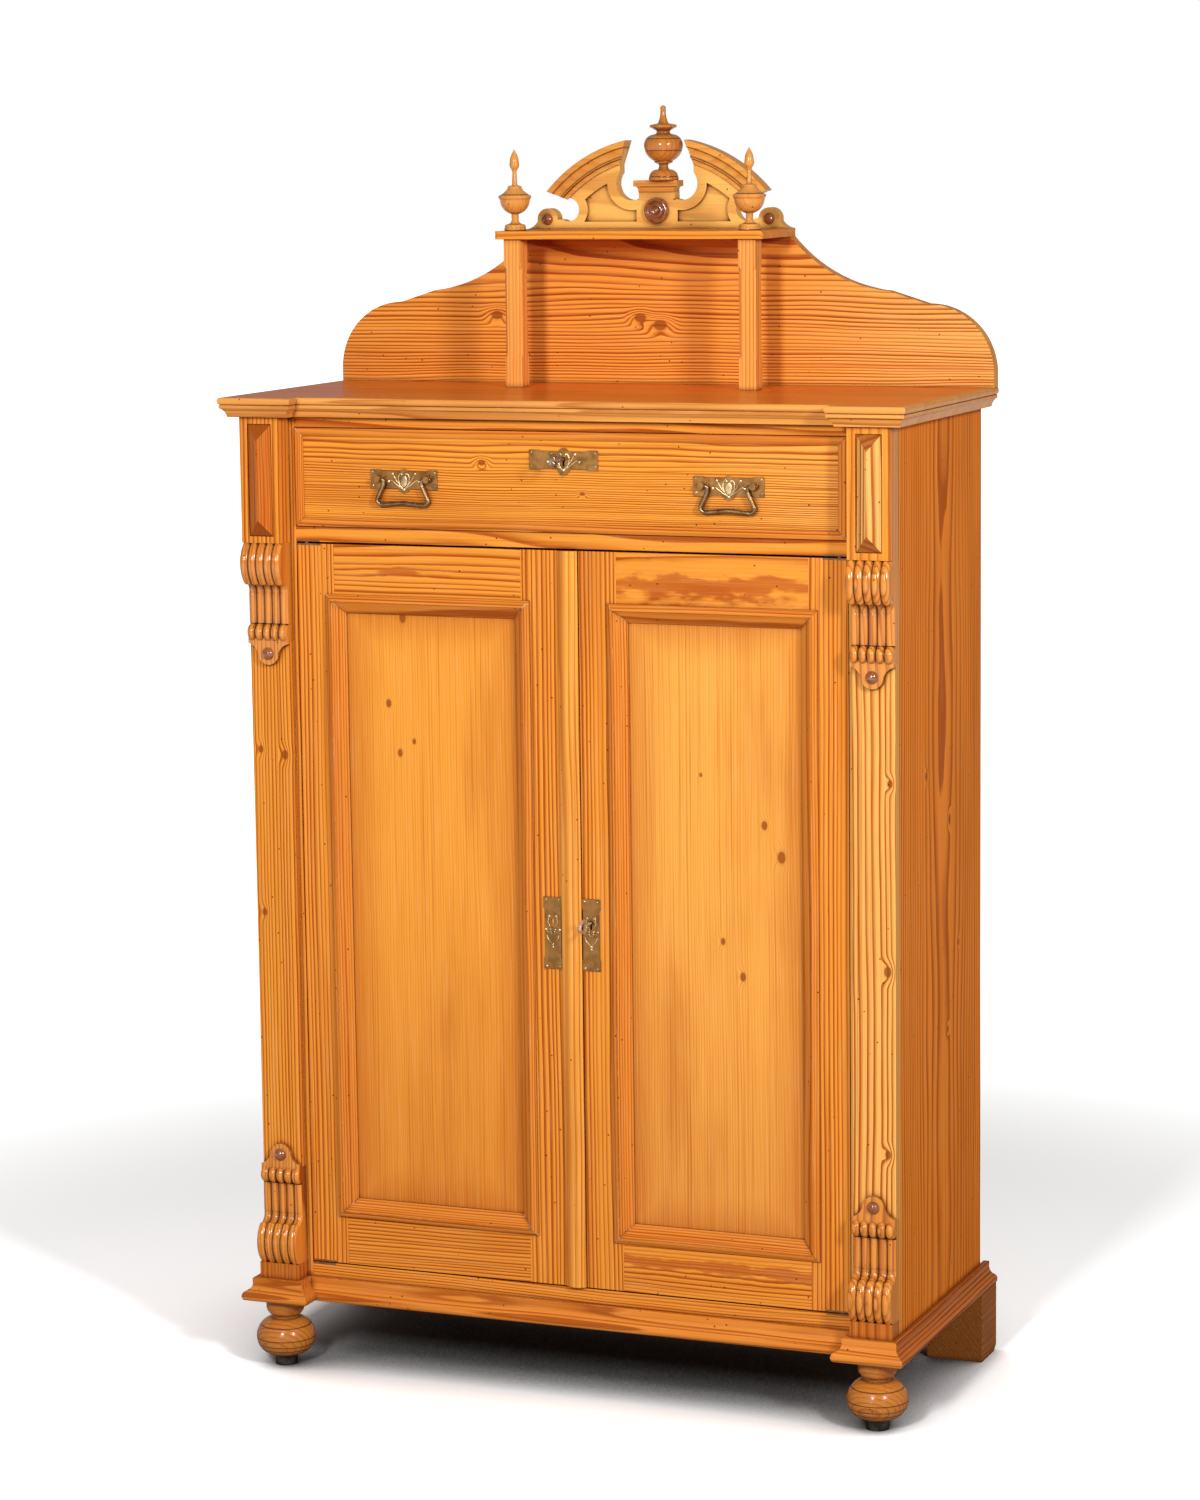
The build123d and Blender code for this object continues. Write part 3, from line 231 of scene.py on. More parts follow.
def pine(name, run="z", early=HONEY, late=AMBER, ring=0.0056, pith=(0.5, 0.3), wander=0.010, depth_of_tone=1.0,
         seed=0.0, knots=(), hearts=(), boards=None, upright=None, shaded=None, scores=(), arcs=(), patches=0.35,
         threads=0.42, right_light=0.0, holes=True, wear=0.35, ends=0.0, wax_and_shade=0.9, reach_of_wax_and_shade=0.010, rough=0.34,
         coat=0.03, shine=0.06):
    """Waxed pine.

    run is the axis of the grain. ring is a ring's width, pith is where the rings' middle lies, across and
    through the board, and wander is how far they stray. knots are (across, along, radius); hearts are red
    streaks of heartwood (across, along, half width, half length). boards is (a seam, width) of boards laid
    side by side, each from another place in the tree. upright tells mitred members apart. shaded is a panel's
    middle and half size, with painted shade towards its edges. scores are heights of turned lines; arcs are
    (height of the centre, radius, ...) of dark lines along an arch. paled is how much painted light makes the
    piece paler towards the right, ends darkens faces cut across the grain, and reach_of_wax_and_shade is how far
    old wax and painted shade spread from a corner. depth_of_tone, patches, threads, wear and grime say how much
    rings, clouds, threads, rubbed edges and old wax with painted shade in corners show.
    """
    finish = Finish(bpy.data.materials.new(name))
    spot = finish.place()
    along, across, through = (spot[axis] for axis in GRAIN_AXES[run])
    if upright:
        turned = upright(spot[0], spot[2])
        along, across = along + turned * (across - along), across + turned * (along - across)
    if boards:
        seam, width = boards
        board = ((across - seam) / width).floor()
        across = across + board * BOARD_STEP[0]
        along = along + board * BOARD_STEP[1]

    def stretched(lengthwise, crosswise, shift=seed):
        """The spot at one scale along the grain and another across it."""
        return finish.join(along * lengthwise + shift, across * crosswise, through * crosswise)

    # Rings round the pith, bent by slow and quick waves, by knots and by heartwood.
    reach = distance(across - pith[0], through - pith[1])
    reach = reach + finish.noise(stretched(*SLOW_WAVES), 1.3) * wander
    reach = reach + finish.noise(stretched(*QUICK_WAVES)) * QUICK_WANDER
    if knots:
        push, knotted = round_knots(knots, across, along)
        reach = reach + push
    if hearts:
        flame = finish.noise(stretched(*FLAMES), detail=3.0)
        push, reddened = round_hearts(hearts, across, along, flame)
        reach = reach + push
    years = reach / ring
    years = years + finish.noise(finish.join(years * 0.21, seed, 0.0), detail=3.0) * 2.6
    stops = [(at, (level, level, level, 1)) for at, level in RING_TONES]
    tone = finish.node("ShaderNodeValToRGB", {"stops": stops}, {0: years.part()})
    tone = finish.node("ShaderNodeSeparateColor", None, {0: tone})
    strength = finish.noise(finish.join(years * 0.31, along * 0.8 + seed, through)) * 1.8 + 0.80
    thread = finish.noise(stretched(*THREADS))
    streak = finish.noise(stretched(*STREAKS, 0.0))
    patch = finish.noise(stretched(*PATCHES), detail=3.0)
    bump = tone * 0.35 + streak * 0.5

    # Layers of colour over the spring wood, each with how much of it shows.
    layers = [
        (tone * strength * depth_of_tone, late),
        (patch.ease(-0.02, 0.3) * patches, AMBER),
        (thread.ease(0.02, 0.26) * (threads * depth_of_tone), AMBER),
        (streak.ease(0.0, 0.4) * 0.22, AMBER),
    ]
    if hearts:
        layers.append((reddened * 0.8, HEART))
    # Painted shade towards the panel's edges inside its moulding, and a redder tone towards the bottom.
    if shaded:
        middle, half = shaded
        inward = (half.x - abs(spot[0] - middle.x)).least(half.z - abs(spot[2] - middle.z))
        layers.append(((inward + patch * 0.05).ease(0.085, 0.0) * 0.55, AMBER))
        layers.append((spot[2].ease(0.85, 0.20) * 0.30, HEART))
    layers.append((streak.ease(0.02, -0.4) * 0.30, CHIP))
    if knots:
        layers.append((knotted.ease(0.0, 1.2) * 0.85, KNOT))
    if holes:
        cells = {"Vector": finish.join(*spot), "Scale": WORM_HOLES}
        hole = finish.node("ShaderNodeTexVoronoi", {"feature": "F1"}, cells).ease(0.072, 0.040)
        layers.append((hole * 0.9, GRIME_AND_SHADE))
        bump = bump - hole * 4.0
    for height in scores:
        line = abs(spot[2] - height).ease(*SCORED_LINE)
        layers.append((line * 0.75, GRIME_AND_SHADE))
        bump = bump - line * 3.0
    for radius in arcs[1:]:
        line = abs(distance(spot[0], spot[2] - arcs[0]) - radius).ease(*ARCHED_LINE)
        layers.append((line * 0.65, GRIME_AND_SHADE))
    soft, edge = finish.rounding(ROUNDED_EDGE)
    rubbed = edge * finish.noise(finish.join(*spot), 60.0, 3.0).ease(0.0, 0.22)
    layers.append((rubbed * wear, CHIP))
    if upright:
        mitre = turned * (1 - turned) * 4
        chipped = mitre.ease(0.02, 0.45) * finish.noise(finish.join(*spot), 85.0, 3.0).ease(0.0, 0.14)
        layers.append((chipped * wear * 0.8, SPLINTER))
        layers.append((mitre.ease(0.84, 0.98) * 0.8, GRIME_AND_SHADE))
    # Painted shade: darker where the point is closed in, in corners and hollows, in the colour of old wax.
    corner = 1 - finish.openness(reach_of_wax_and_shade)
    layers.append((corner.ease(0.10, 0.62) * wax_and_shade, GRIME_AND_SHADE))
    facing = finish.parts(finish.node("ShaderNodeNewGeometry", output="True Normal"))
    if ends:
        layers.append((abs(facing[2]).ease(0.2, 0.45) * ends, KNOT))
    # Painted light: the piece turns paler towards its right, as if lit more strongly there.
    colour = finish.blend(spot[0].ease(*BRIGHT_END) * right_light, early, PAINTED_RIGHT_LIGHT) if right_light else early
    for amount, layer in layers:
        colour = finish.blend(amount, colour, layer)

    # The flanks have lost their polish.
    if coat:
        coat = abs(facing[0]).ease(0.98, 0.85) * coat
    gloss = rough + patch * 0.10 + tone * 0.05 + corner * 0.25
    return finish.close(colour, gloss, bump, GRAIN_DEPTH, soft, coat=coat, shine=shine)


def dress(material, *names):
    """Gives CAD nodes their finish."""
    for name in names:
        body = nodes[name]
        if not body.material_slots:
            body.data.materials.append(material)
        for place in body.material_slots:
            place.material = material


SIDE_LIGHT = (0.96, 0.268, 0.020, 1)
SIDE_DARK = (0.52, 0.100, 0.005, 1)
STILE_LIGHT = (0.93, 0.345, 0.042, 1)
side_knots = ((-0.052, 0.925, 0.0045), (0.060, 0.845, 0.0050), (0.052, 0.535, 0.0040), (0.105, 0.655, 0.0035))
shaft_knots = (
    (-0.4875, 0.941, 0.0040), (-0.448, 0.934, 0.0050), (-0.4876, 0.695, 0.0040),
    (0.492, 0.935, 0.0040), (0.488, 0.667, 0.0055), (0.488, 0.403, 0.0045),
)
dress(pine("side_pine", "z_side", SIDE_LIGHT, SIDE_DARK, ring=0.0060, pith=(0.03, 0.68), wander=0.022,
           knots=side_knots, seed=3.0, depth_of_tone=1.2, rough=0.50, coat=0.0, shine=0.02),
      "carcass_sides")
dress(pine("stile_pine", "z", STILE_LIGHT, ring=0.0048, depth_of_tone=1.25, pith=(0.9, 0.5), rough=0.55,
           coat=0.0, shine=0.02, seed=1.0, right_light=0.65, knots=shaft_knots),
      "front_stiles", "pilaster_shafts")
dress(pine("rail_pine", "x", ring=0.0050, pith=(1.34, 0.10), wander=0.025, depth_of_tone=1.2, seed=5.0),
      "drawer_rail", "frieze_rail", "bottom_board")

RAW_LIGHT = (0.68, 0.40, 0.16, 1)
RAW_DARK = (0.45, 0.21, 0.06, 1)


def raw_pine(name, run, ring, pith, seed, rough=0.7, **grain):
    """Pine that was never waxed, as in the carcass and the drawer."""
    return pine(name, run, RAW_LIGHT, RAW_DARK, ring, pith, seed=seed, rough=rough, wear=0.1, coat=0.0,
                **grain)


low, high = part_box("back_boards")
back_board = (high.x - low.x) / 6
dress(raw_pine("raw_boards", "z", 0.006, (0.04, 0.36), 9.0, wander=0.04, boards=(0.0, back_board)),
      "back_boards")
dress(raw_pine("raw_shelves", "x", 0.005, (0.6, 0.5), 11.0, wander=0.03), "inner_shelves", "plinth_rail")
dress(raw_pine("raw_runners", "y", 0.004, (0.6, 0.5), 13.0), "shelf_cleats", "drawer_runners")


# ---------------------------------------------------------------- pilasters
# Flat shafts between carved corbels, on plain base blocks and under frieze blocks with raised lozenges.
# Corbels are softwood carved with five reeds; edges are rubbed pale, and the hollows hold dark wax and painted
# shade.
CARVED_LIGHT = (0.86, 0.300, 0.036, 1)
CARVED_DARK = (0.42, 0.100, 0.010, 1)
BASE_LIGHT = (0.60, 0.165, 0.018, 1)
BASE_DARK = (0.34, 0.072, 0.006, 1)
LOZENGE_LIGHT = (0.64, 0.160, 0.014, 1)
LOZENGE_DARK = (0.40, 0.080, 0.006, 1)
dress(pine("block_pine", "z", ring=0.0062, pith=(0.75, 0.4), seed=15.0, depth_of_tone=1.2), "frieze_blocks")
dress(pine("base_pine", "z", BASE_LIGHT, BASE_DARK, pith=(0.75, 0.4), seed=16.0), "base_blocks")
dress(pine("lozenge_pine", "z", LOZENGE_LIGHT, LOZENGE_DARK, ring=0.0042, pith=(0.40, 0.16), wander=0.03,
           seed=17.0, wear=0.4, depth_of_tone=1.3, rough=0.30, coat=0.05, ends=0.8, shine=0.06, right_light=0.9),
      "block_lozenges")
dress(pine("corbel_pine", "z", CARVED_LIGHT, CARVED_DARK, ring=0.0060, pith=(0.55, -0.05), wander=0.03,
           seed=19.0, wear=1.0, rough=0.28, depth_of_tone=0.9, wax_and_shade=1.0, coat=1.0, shine=0.03,
           reach_of_wax_and_shade=0.026),
      "lower_corbels", "upper_corbels")


# ---------------------------------------------------------------- plinth and feet
# A moulded plinth mitred at its corners, on two turned bun feet in front and shaped board feet behind.
# The buns are scored with lines on the lathe and waxed darker; each has a dark iron glide.
PLINTH_LIGHT = (0.80, 0.26, 0.034, 1)
PLINTH_DARK = (0.42, 0.095, 0.008, 1)
PLINTH_SIDE_LIGHT = (0.62, 0.165, 0.018, 1)
PLINTH_SIDE_DARK = (0.28, 0.055, 0.006, 1)
REAR_FOOT_LIGHT = (0.36, 0.110, 0.018, 1)
REAR_FOOT_DARK = (0.20, 0.052, 0.009, 1)
TURNED_LIGHT = (0.60, 0.195, 0.024, 1)
TURNED_DARK = (0.26, 0.062, 0.008, 1)
dress(pine("plinth_pine", "x", PLINTH_LIGHT, PLINTH_DARK, ring=0.0050, pith=(0.137, -0.30), wander=0.022,
           seed=21.0, wear=0.9, depth_of_tone=1.3),
      "plinth_front")
dress(pine("plinth_side_pine", "y", PLINTH_SIDE_LIGHT, PLINTH_SIDE_DARK, ring=0.0052, pith=(0.02, 0.75),
           wander=0.015, seed=23.0, wear=0.9, depth_of_tone=1.4, shine=0.05),
      "plinth_sides")
dress(pine("rear_foot_pine", "y", REAR_FOOT_LIGHT, REAR_FOOT_DARK, ring=0.006, pith=(0.2, 0.7), wander=0.02,
           seed=25.0, wear=0.3, rough=0.5, coat=0.0, depth_of_tone=0.4),
      "rear_feet")
dress(pine("bun_pine", "x", TURNED_LIGHT, TURNED_DARK, ring=0.0075, pith=(0.02, -0.26), wander=0.02,
           seed=27.0, scores=(0.0265, 0.0335, 0.0435, 0.0625), rough=0.22, depth_of_tone=0.5, coat=0.35,
           wear=0.2, shine=0.2),
      "bun_feet")


def metal(name, bright, dull, rough, metallic=1.0):
    """Aged metal: dull in its hollows, brighter where hands and cloth rub it."""
    finish = Finish(bpy.data.materials.new(name))
    spot = finish.join(*finish.place())
    cloud = finish.noise(spot, 90.0, 4.0)
    speck = finish.noise(spot, 810.0)
    soft, edge = finish.rounding(0.0006)
    corner = 1 - finish.openness(0.004)
    worn = (0.55 + cloud * 1.6 + edge * 0.5 - corner * 0.8).ease(0.0, 1.0)
    gloss = rough - edge * 0.08 + cloud * 0.25 + corner * 0.2
    height = speck * 0.6 + cloud
    return finish.close(finish.blend(worn, dull, bright), gloss, height, 0.00012, soft, metallic=metallic)


dress(metal("dark_iron", (0.16, 0.14, 0.12, 1), (0.035, 0.028, 0.022, 1), 0.5),
      "foot_glides", "door_lock", "drawer_lock")
dress(metal("brown_iron", (0.30, 0.125, 0.035, 1), (0.16, 0.055, 0.014, 1), 0.6, 0.3),
      "hinge_plates", "door_left_pivots", "door_right_pivots")


# ---------------------------------------------------------------- doors
# Two framed doors: straight-grained stiles, flamed rails, wide light panels and a mitred moulding round each.
# A rounded strip on the left door covers the joint.
MITRE_HALF_WIDTH = 0.0014            # of the worn joint


def middle_and_half(low, high):
    """A box's middle and half its size."""
    return (low + high) / 2, (high - low) / 2


def mitred(middle, half):
    """1 on a frame's upright members, 0 on its level ones, parted along the mitres."""
    def told(x, z):
        past_mitre = (abs(x - middle.x) - half.x) - (abs(z - middle.z) - half.z)
        return past_mitre.ease(-MITRE_HALF_WIDTH, MITRE_HALF_WIDTH)
    return told


PANEL_DARK = (0.66, 0.170, 0.014, 1)
MOULDING_LIGHT = (0.78, 0.255, 0.032, 1)
MOULDING_DARK = (0.42, 0.088, 0.007, 1)
STRIP_LIGHT = (0.96, 0.42, 0.065, 1)
STRIP_DARK = (0.60, 0.15, 0.012, 1)
door_woods = {
    "left": {
        "seed": 31.0,
        "panel_light": (0.94, 0.365, 0.046, 1),
        "panel_knots": (
            (-0.264, 1.141, 0.0050), (-0.289, 1.014, 0.0042), (-0.249, 0.959, 0.0030), (-0.272, 0.941, 0.0040)),
        "rail_pith": (1.268, -0.100),
        "rail_hearts": ((1.211, -0.265, 0.006, 0.040),),
    },
    "right": {
        "seed": 37.0,
        "panel_light": (0.96, 0.420, 0.072, 1),
        "panel_knots": (
            (0.296, 0.862, 0.0045), (0.3215, 0.817, 0.0060), (0.200, 0.9305, 0.0022), (0.262, 0.640, 0.0045),
            (0.232, 0.690, 0.0035)),
        "rail_pith": (1.205, -0.105),
        "rail_hearts": ((0.209, 0.235, 0.0090, 0.21), (1.203, 0.225, 0.0150, 0.20)),
    },
}
for side, wood in door_woods.items():
    seed = wood["seed"]
    middle, half = middle_and_half(*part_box(f"door_{side}_panel"))
    dress(pine(f"panel_pine_{side}", "z", wood["panel_light"], PANEL_DARK, ring=0.0036,
               pith=(middle.x + 0.42, 0.12), wander=0.014, knots=wood["panel_knots"], seed=seed,
               depth_of_tone=0.45, threads=1.0, patches=0.55, rough=0.40, holes=False, shaded=(middle, half)),
          f"door_{side}_panel")
    dress(pine(f"moulding_pine_{side}", "x", MOULDING_LIGHT, MOULDING_DARK, ring=0.0042, pith=(1.9, 0.9),
               seed=seed + 1, upright=mitred(middle, half), wear=1.0, wax_and_shade=1.0, rough=0.30,
               depth_of_tone=1.2),
          f"door_{side}_moulding")
    dress(pine(f"door_stile_pine_{side}", "z", ring=0.0062, pith=(middle.x + 0.75, 0.12), seed=seed + 2,
               depth_of_tone=1.35),
          f"door_{side}_stiles")
    dress(pine(f"door_rail_pine_{side}", "x", pith=wood["rail_pith"], wander=0.022, seed=seed + 3,
               depth_of_tone=1.3, hearts=wood["rail_hearts"]),
          f"door_{side}_rails")
dress(pine("strip_pine", "z", STRIP_LIGHT, STRIP_DARK, ring=0.0060, pith=(0.3, 0.15), wander=0.02, seed=41.0,
           wear=0.6, rough=0.28, coat=0.1),
      "door_astragal")


# ---------------------------------------------------------------- drawer
# One long drawer with a horizontally grained front and a beading nailed round it.
# Its sides, back and bottom are thin raw boards.
DRAWER_LIGHT = (0.94, 0.360, 0.040, 1)
DRAWER_DARK = (0.42, 0.072, 0.004, 1)
drawer_knots = ((1.372, -0.128, 0.004), (1.330, 0.028, 0.0026))
dress(pine("drawer_pine", "x", DRAWER_LIGHT, DRAWER_DARK, ring=0.0017, pith=(1.430, -0.36), wander=0.014,
           knots=drawer_knots, seed=43.0, depth_of_tone=1.3, threads=0.6, right_light=0.3),
      "drawer_front")
middle, half = middle_and_half(*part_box("drawer_beading"))
dress(pine("beading_pine", "x", MOULDING_LIGHT, MOULDING_DARK, ring=0.0040, pith=(2.0, 0.9), seed=45.0,
           upright=mitred(middle, half), wear=0.9, rough=0.28, depth_of_tone=1.2),
      "drawer_beading")
dress(raw_pine("drawer_side_pine", "y", 0.005, (0.9, 0.9), 47.0, 0.65), "drawer_sides")
dress(raw_pine("drawer_inner_pine", "x", 0.006, (0.9, 0.5), 49.0, 0.65, wander=0.03),
      "drawer_back", "drawer_bottom")


# ---------------------------------------------------------------- handle and key plates
# Plates pressed from thin brass sheet: stepped ends, raised tendrils with buds, and a pin in each corner.
# The brass has gone olive-brown; the relief and pins are lighter, rubbed bright by cloth and with a painted
# highlight.
aged_brass = metal("aged_brass", (0.41, 0.200, 0.060, 1), (0.20, 0.090, 0.026, 1), 0.38)
# Lighter than the plates: partly rubbed brass, partly a painted highlight on the relief and pins.
rubbed_highlit_brass = metal("rubbed_highlit_brass", (0.95, 0.70, 0.40, 1), (0.34, 0.20, 0.080, 1), 0.28, 0.75)
dress(aged_brass, "pull_plates", "drawer_escutcheon", "door_left_escutcheon", "door_right_escutcheon")
MILLIMETRE = 0.001


def whole(name, meshes, material, body):
    """Joins meshes into one piece that rides on a body."""
    joined = bmesh.new()
    for mesh in meshes:
        joined.from_mesh(mesh)
        bpy.data.meshes.remove(mesh)
    bmesh.ops.recalc_face_normals(joined, faces=joined.faces)
    data = bpy.data.meshes.new(name)
    joined.to_mesh(data)
    joined.free()
    data.materials.clear()
    data.materials.append(material)
    data.polygons.foreach_set("material_index", [0] * len(data.polygons))
    data.polygons.foreach_set("use_smooth", [True] * len(data.polygons))
    piece = bpy.data.objects.new(name, data)
    bpy.context.scene.collection.objects.link(piece)
    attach(piece, body)


def evaluated_mesh(thing):
    """The finished mesh of an object, which is then removed."""
    bpy.context.view_layer.update()
    seen = thing.evaluated_get(bpy.context.evaluated_depsgraph_get())
    mesh = bpy.data.meshes.new_from_object(seen)
    bpy.data.objects.remove(thing)
    return mesh


def tendril(points, thickness):
    """A raised stem that thins to its tip. Points are (x, z) on the plate, in millimetres."""
    curve = bpy.data.curves.new("tendril", "CURVE")
    curve.dimensions = "3D"
    curve.bevel_depth = thickness * MILLIMETRE
    curve.bevel_resolution = 2
    curve.resolution_u = 5
    curve.use_fill_caps = True
    line = curve.splines.new("NURBS")
    line.points.add(len(points) - 1)
    for place, (x, z) in enumerate(points):
        line.points[place].co = (x * MILLIMETRE, 0, z * MILLIMETRE, 1)
        line.points[place].radius = 1.0 - 0.5 * abs(2 * place / (len(points) - 1) - 0.7)
    line.order_u = 3
    line.use_endpoint_u = True
    stem = bpy.data.objects.new("tendril", curve)
    bpy.context.scene.collection.objects.link(stem)
    return evaluated_mesh(stem)


def bud(x, z, radius, flatness=0.6):
    """A raised round bud at the end of a stem."""
    ball = bmesh.new()
    bmesh.ops.create_uvsphere(ball, u_segments=14, v_segments=9, radius=radius * MILLIMETRE)
    bmesh.ops.scale(ball, vec=(1, flatness, 1), verts=ball.verts)
    bmesh.ops.translate(ball, vec=(x * MILLIMETRE, 0, z * MILLIMETRE), verts=ball.verts)
    mesh = bpy.data.meshes.new("bud")
    ball.to_mesh(mesh)
    ball.free()
    return mesh


def relief(stems, buds, spot):
    """Both halves of a plate's ornament, set on the plate's face at spot."""
    meshes = []
    for hand in (-1, 1):
        for points, thickness in stems:
            meshes.append(tendril([(hand * x, z) for x, z in points], thickness))
        for x, z, radius in buds:
            if x or hand > 0:
                meshes.append(bud(hand * x, z, radius))
    for mesh in meshes:
        mesh.transform(Matrix.Translation(spot))
    return meshes


lily_stems = (
    (((0, -15), (-5.5, -10.5), (-8.6, -4), (-8.8, 3), (-6.4, 8.2), (-3.6, 8.8), (-3.2, 6.6)), 1.45),
    (((-6.6, -9), (-10.4, -4.6), (-14, 1.6), (-17.6, 7.4)), 1.20),
    (((0, -15.6), (-9, -10), (-16.5, -4), (-20.8, -1.4), (-23.8, -2.6)), 1.45),
)
lily_buds = ((17.9, 7.6, 2.4), (24.2, -3.6, 2.4), (3.4, 7.0, 1.9), (0, -15.4, 2.6))
heart_stems = (
    (((-2.6, 2), (-5.5, 0.4), (-8.8, 1.0), (-10.6, 4.2)), 1.20),
    (((-1, -2), (-3.4, 0.2), (-3.7, 4)), 1.15),
    (((-7.6, 24.4), (-6.2, 21), (-7.8, 17), (-5.6, 11), (-2.6, 9.2)), 1.15),
    (((-9.2, -3), (-8.8, -8), (-5, -12), (0, -16.2)), 1.25),
)
heart_buds = ((5.6, 24.6, 2.3), (10.6, 4.8, 2.3), (3.7, 5.0, 2.0), (0, -17.5, 2.3), (0, -21.2, 1.6))
plate_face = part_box("drawer_escutcheon")[0].y
pull_spots = (Vector((-0.251, plate_face, 1.346)), Vector((0.251, plate_face, 1.346)))
lock_spot = Vector((0, plate_face, 1.379))
drawer_relief = []
for spot in pull_spots:
    drawer_relief += relief(lily_stems, lily_buds, spot)
    petal = bud(0, -1.5, 5.2, 0.16)
    petal.transform(Matrix.Translation(spot - Vector((0, 0, MILLIMETRE))) @ Matrix.Diagonal((1, 1, 1.7, 1)))
    drawer_relief.append(petal)
drawer_relief += relief(lily_stems, lily_buds, lock_spot)
whole("drawer_plate_relief", drawer_relief, rubbed_highlit_brass, "drawer")
door_spots = {}
for side in ("left", "right"):
    low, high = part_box(f"door_{side}_escutcheon")
    door_spots[side] = Vector(((low.x + high.x) / 2, low.y, (low.z + high.z) / 2))
    whole(f"door_{side}_plate_relief", relief(heart_stems, heart_buds, door_spots[side]), rubbed_highlit_brass,
          f"door_{side}")


def pin_tree(name, material):
    """Round pin heads on every given point: inputs Radius, Rise, Facets, Seed."""
    tree = bpy.data.node_groups.new(name, "GeometryNodeTree")
    face = tree.interface
    face.new_socket("Geometry", in_out="INPUT", socket_type="NodeSocketGeometry")
    for label, kind, value in (("Radius", "NodeSocketFloat", 0.0014), ("Rise", "NodeSocketFloat", 0.6),
                               ("Facets", "NodeSocketInt", 14), ("Seed", "NodeSocketInt", 1)):
        face.new_socket(label, in_out="INPUT", socket_type=kind).default_value = value
    face.new_socket("Geometry", in_out="OUTPUT", socket_type="NodeSocketGeometry")

    def add(kind, **sockets):
        made = tree.nodes.new(kind)
        for key, source in sockets.items():
            if isinstance(source, bpy.types.NodeSocket):
                tree.links.new(source, made.inputs[key])
            else:
                made.inputs[key].default_value = source
        return made

    given = add("NodeGroupInput")
    head = add("GeometryNodeMeshUVSphere", Segments=given.outputs["Facets"], Rings=8,
               Radius=given.outputs["Radius"])
    size = add("ShaderNodeCombineXYZ", X=1.0, Y=given.outputs["Rise"], Z=1.0)
    flat = add("GeometryNodeTransform", Geometry=head.outputs["Mesh"], Scale=size.outputs[0])
    chance = tree.nodes.new("FunctionNodeRandomValue")
    chance.data_type = "FLOAT"
    smallest, largest, drawn = chance.inputs[2], chance.inputs[3], chance.outputs[1]
    smallest.default_value = 0.85
    largest.default_value = 1.12
    tree.links.new(given.outputs["Seed"], chance.inputs["Seed"])
    spread = add("GeometryNodeInstanceOnPoints", Points=given.outputs["Geometry"],
                 Instance=flat.outputs["Geometry"], Scale=drawn)
    real = add("GeometryNodeRealizeInstances", Geometry=spread.outputs["Instances"])
    smooth = add("GeometryNodeSetShadeSmooth", Geometry=real.outputs["Geometry"])
    coat = add("GeometryNodeSetMaterial", Geometry=smooth.outputs["Geometry"], Material=material)
    last = tree.nodes.new("NodeGroupOutput")
    tree.links.new(coat.outputs["Geometry"], last.inputs["Geometry"])
    return tree


brass_pins = pin_tree("brass_pins", rubbed_highlit_brass)
pin_inputs = {"Radius": 0.0016, "Rise": 0.6, "Seed": 7}
PIN_ALONG = 0.0492                   # from a plate's middle to its pins, along the plate and across it
PIN_ACROSS = 0.0098


def pins_round(spot, off_x, off_z):
    """The four corners of a plate whose middle is at spot."""
    return [(spot.x + x * off_x, spot.y, spot.z + z * off_z) for x in (-1, 1) for z in (-1, 1)]


def pin_heads(name, spots, body):
    """One pin head at each spot, as one plain mesh."""
    points = bpy.data.meshes.new("pin_spots")
    points.from_pydata(spots, [], [])
    bed = bpy.data.objects.new("pin_bed", points)
    bpy.context.scene.collection.objects.link(bed)
    growth = bed.modifiers.new("pins", "NODES")
    growth.node_group = brass_pins
    for item in brass_pins.interface.items_tree:
        if item.name in pin_inputs:
            growth[item.identifier] = pin_inputs[item.name]
    whole(name, [evaluated_mesh(bed)], rubbed_highlit_brass, body)


drawer_pins = []
for spot in (*pull_spots, lock_spot):
    drawer_pins += pins_round(spot, PIN_ALONG, PIN_ACROSS)
pin_heads("drawer_plate_pins", drawer_pins, "drawer")
for side, spot in door_spots.items():
    pin_heads(f"door_{side}_plate_pins", pins_round(spot, PIN_ACROSS, PIN_ALONG), f"door_{side}")


# ---------------------------------------------------------------- handles and keys
# Cast drop handles, browner than their plates, hang on two bolts each.
# The drawer's key is dark steel and the door's is nickelled; both have ring bows.
dress(metal("handle_bronze", (0.36, 0.23, 0.115, 1), (0.15, 0.085, 0.040, 1), 0.30),
      "bail_left", "bail_right")
dress(metal("key_steel", (0.46, 0.35, 0.28, 1), (0.13, 0.085, 0.065, 1), 0.34, 0.8), "drawer_key")
dress(metal("key_nickel", (0.82, 0.66, 0.54, 1), (0.42, 0.29, 0.21, 1), 0.34, 0.7), "door_key")


# ---------------------------------------------------------------- worktop
# A pine board with a narrow moulding mitred round its front and ends.
# Its top is polished by use, and the moulding's edges are rubbed pale.
TOP_LIGHT = (0.88, 0.190, 0.014, 1)
TOP_DARK = (0.68, 0.128, 0.008, 1)
TOP_EDGE_LIGHT = (0.88, 0.37, 0.080, 1)
TOP_EDGE_DARK = (0.45, 0.115, 0.012, 1)
dress(pine("worktop_pine", "x", TOP_LIGHT, TOP_DARK, ring=0.010, pith=(1.30, 0.02), wander=0.05, seed=51.0,
           depth_of_tone=0.45, rough=0.30, patches=0.3, coat=0.2, shine=0.04),
      "worktop")
dress(pine("top_edge_pine", "x", TOP_EDGE_LIGHT, TOP_EDGE_DARK, ring=0.0050, pith=(1.45, -0.55), wander=0.03,
           seed=53.0, wear=1.0, depth_of_tone=0.9, rough=0.28),
      "worktop_moulding")


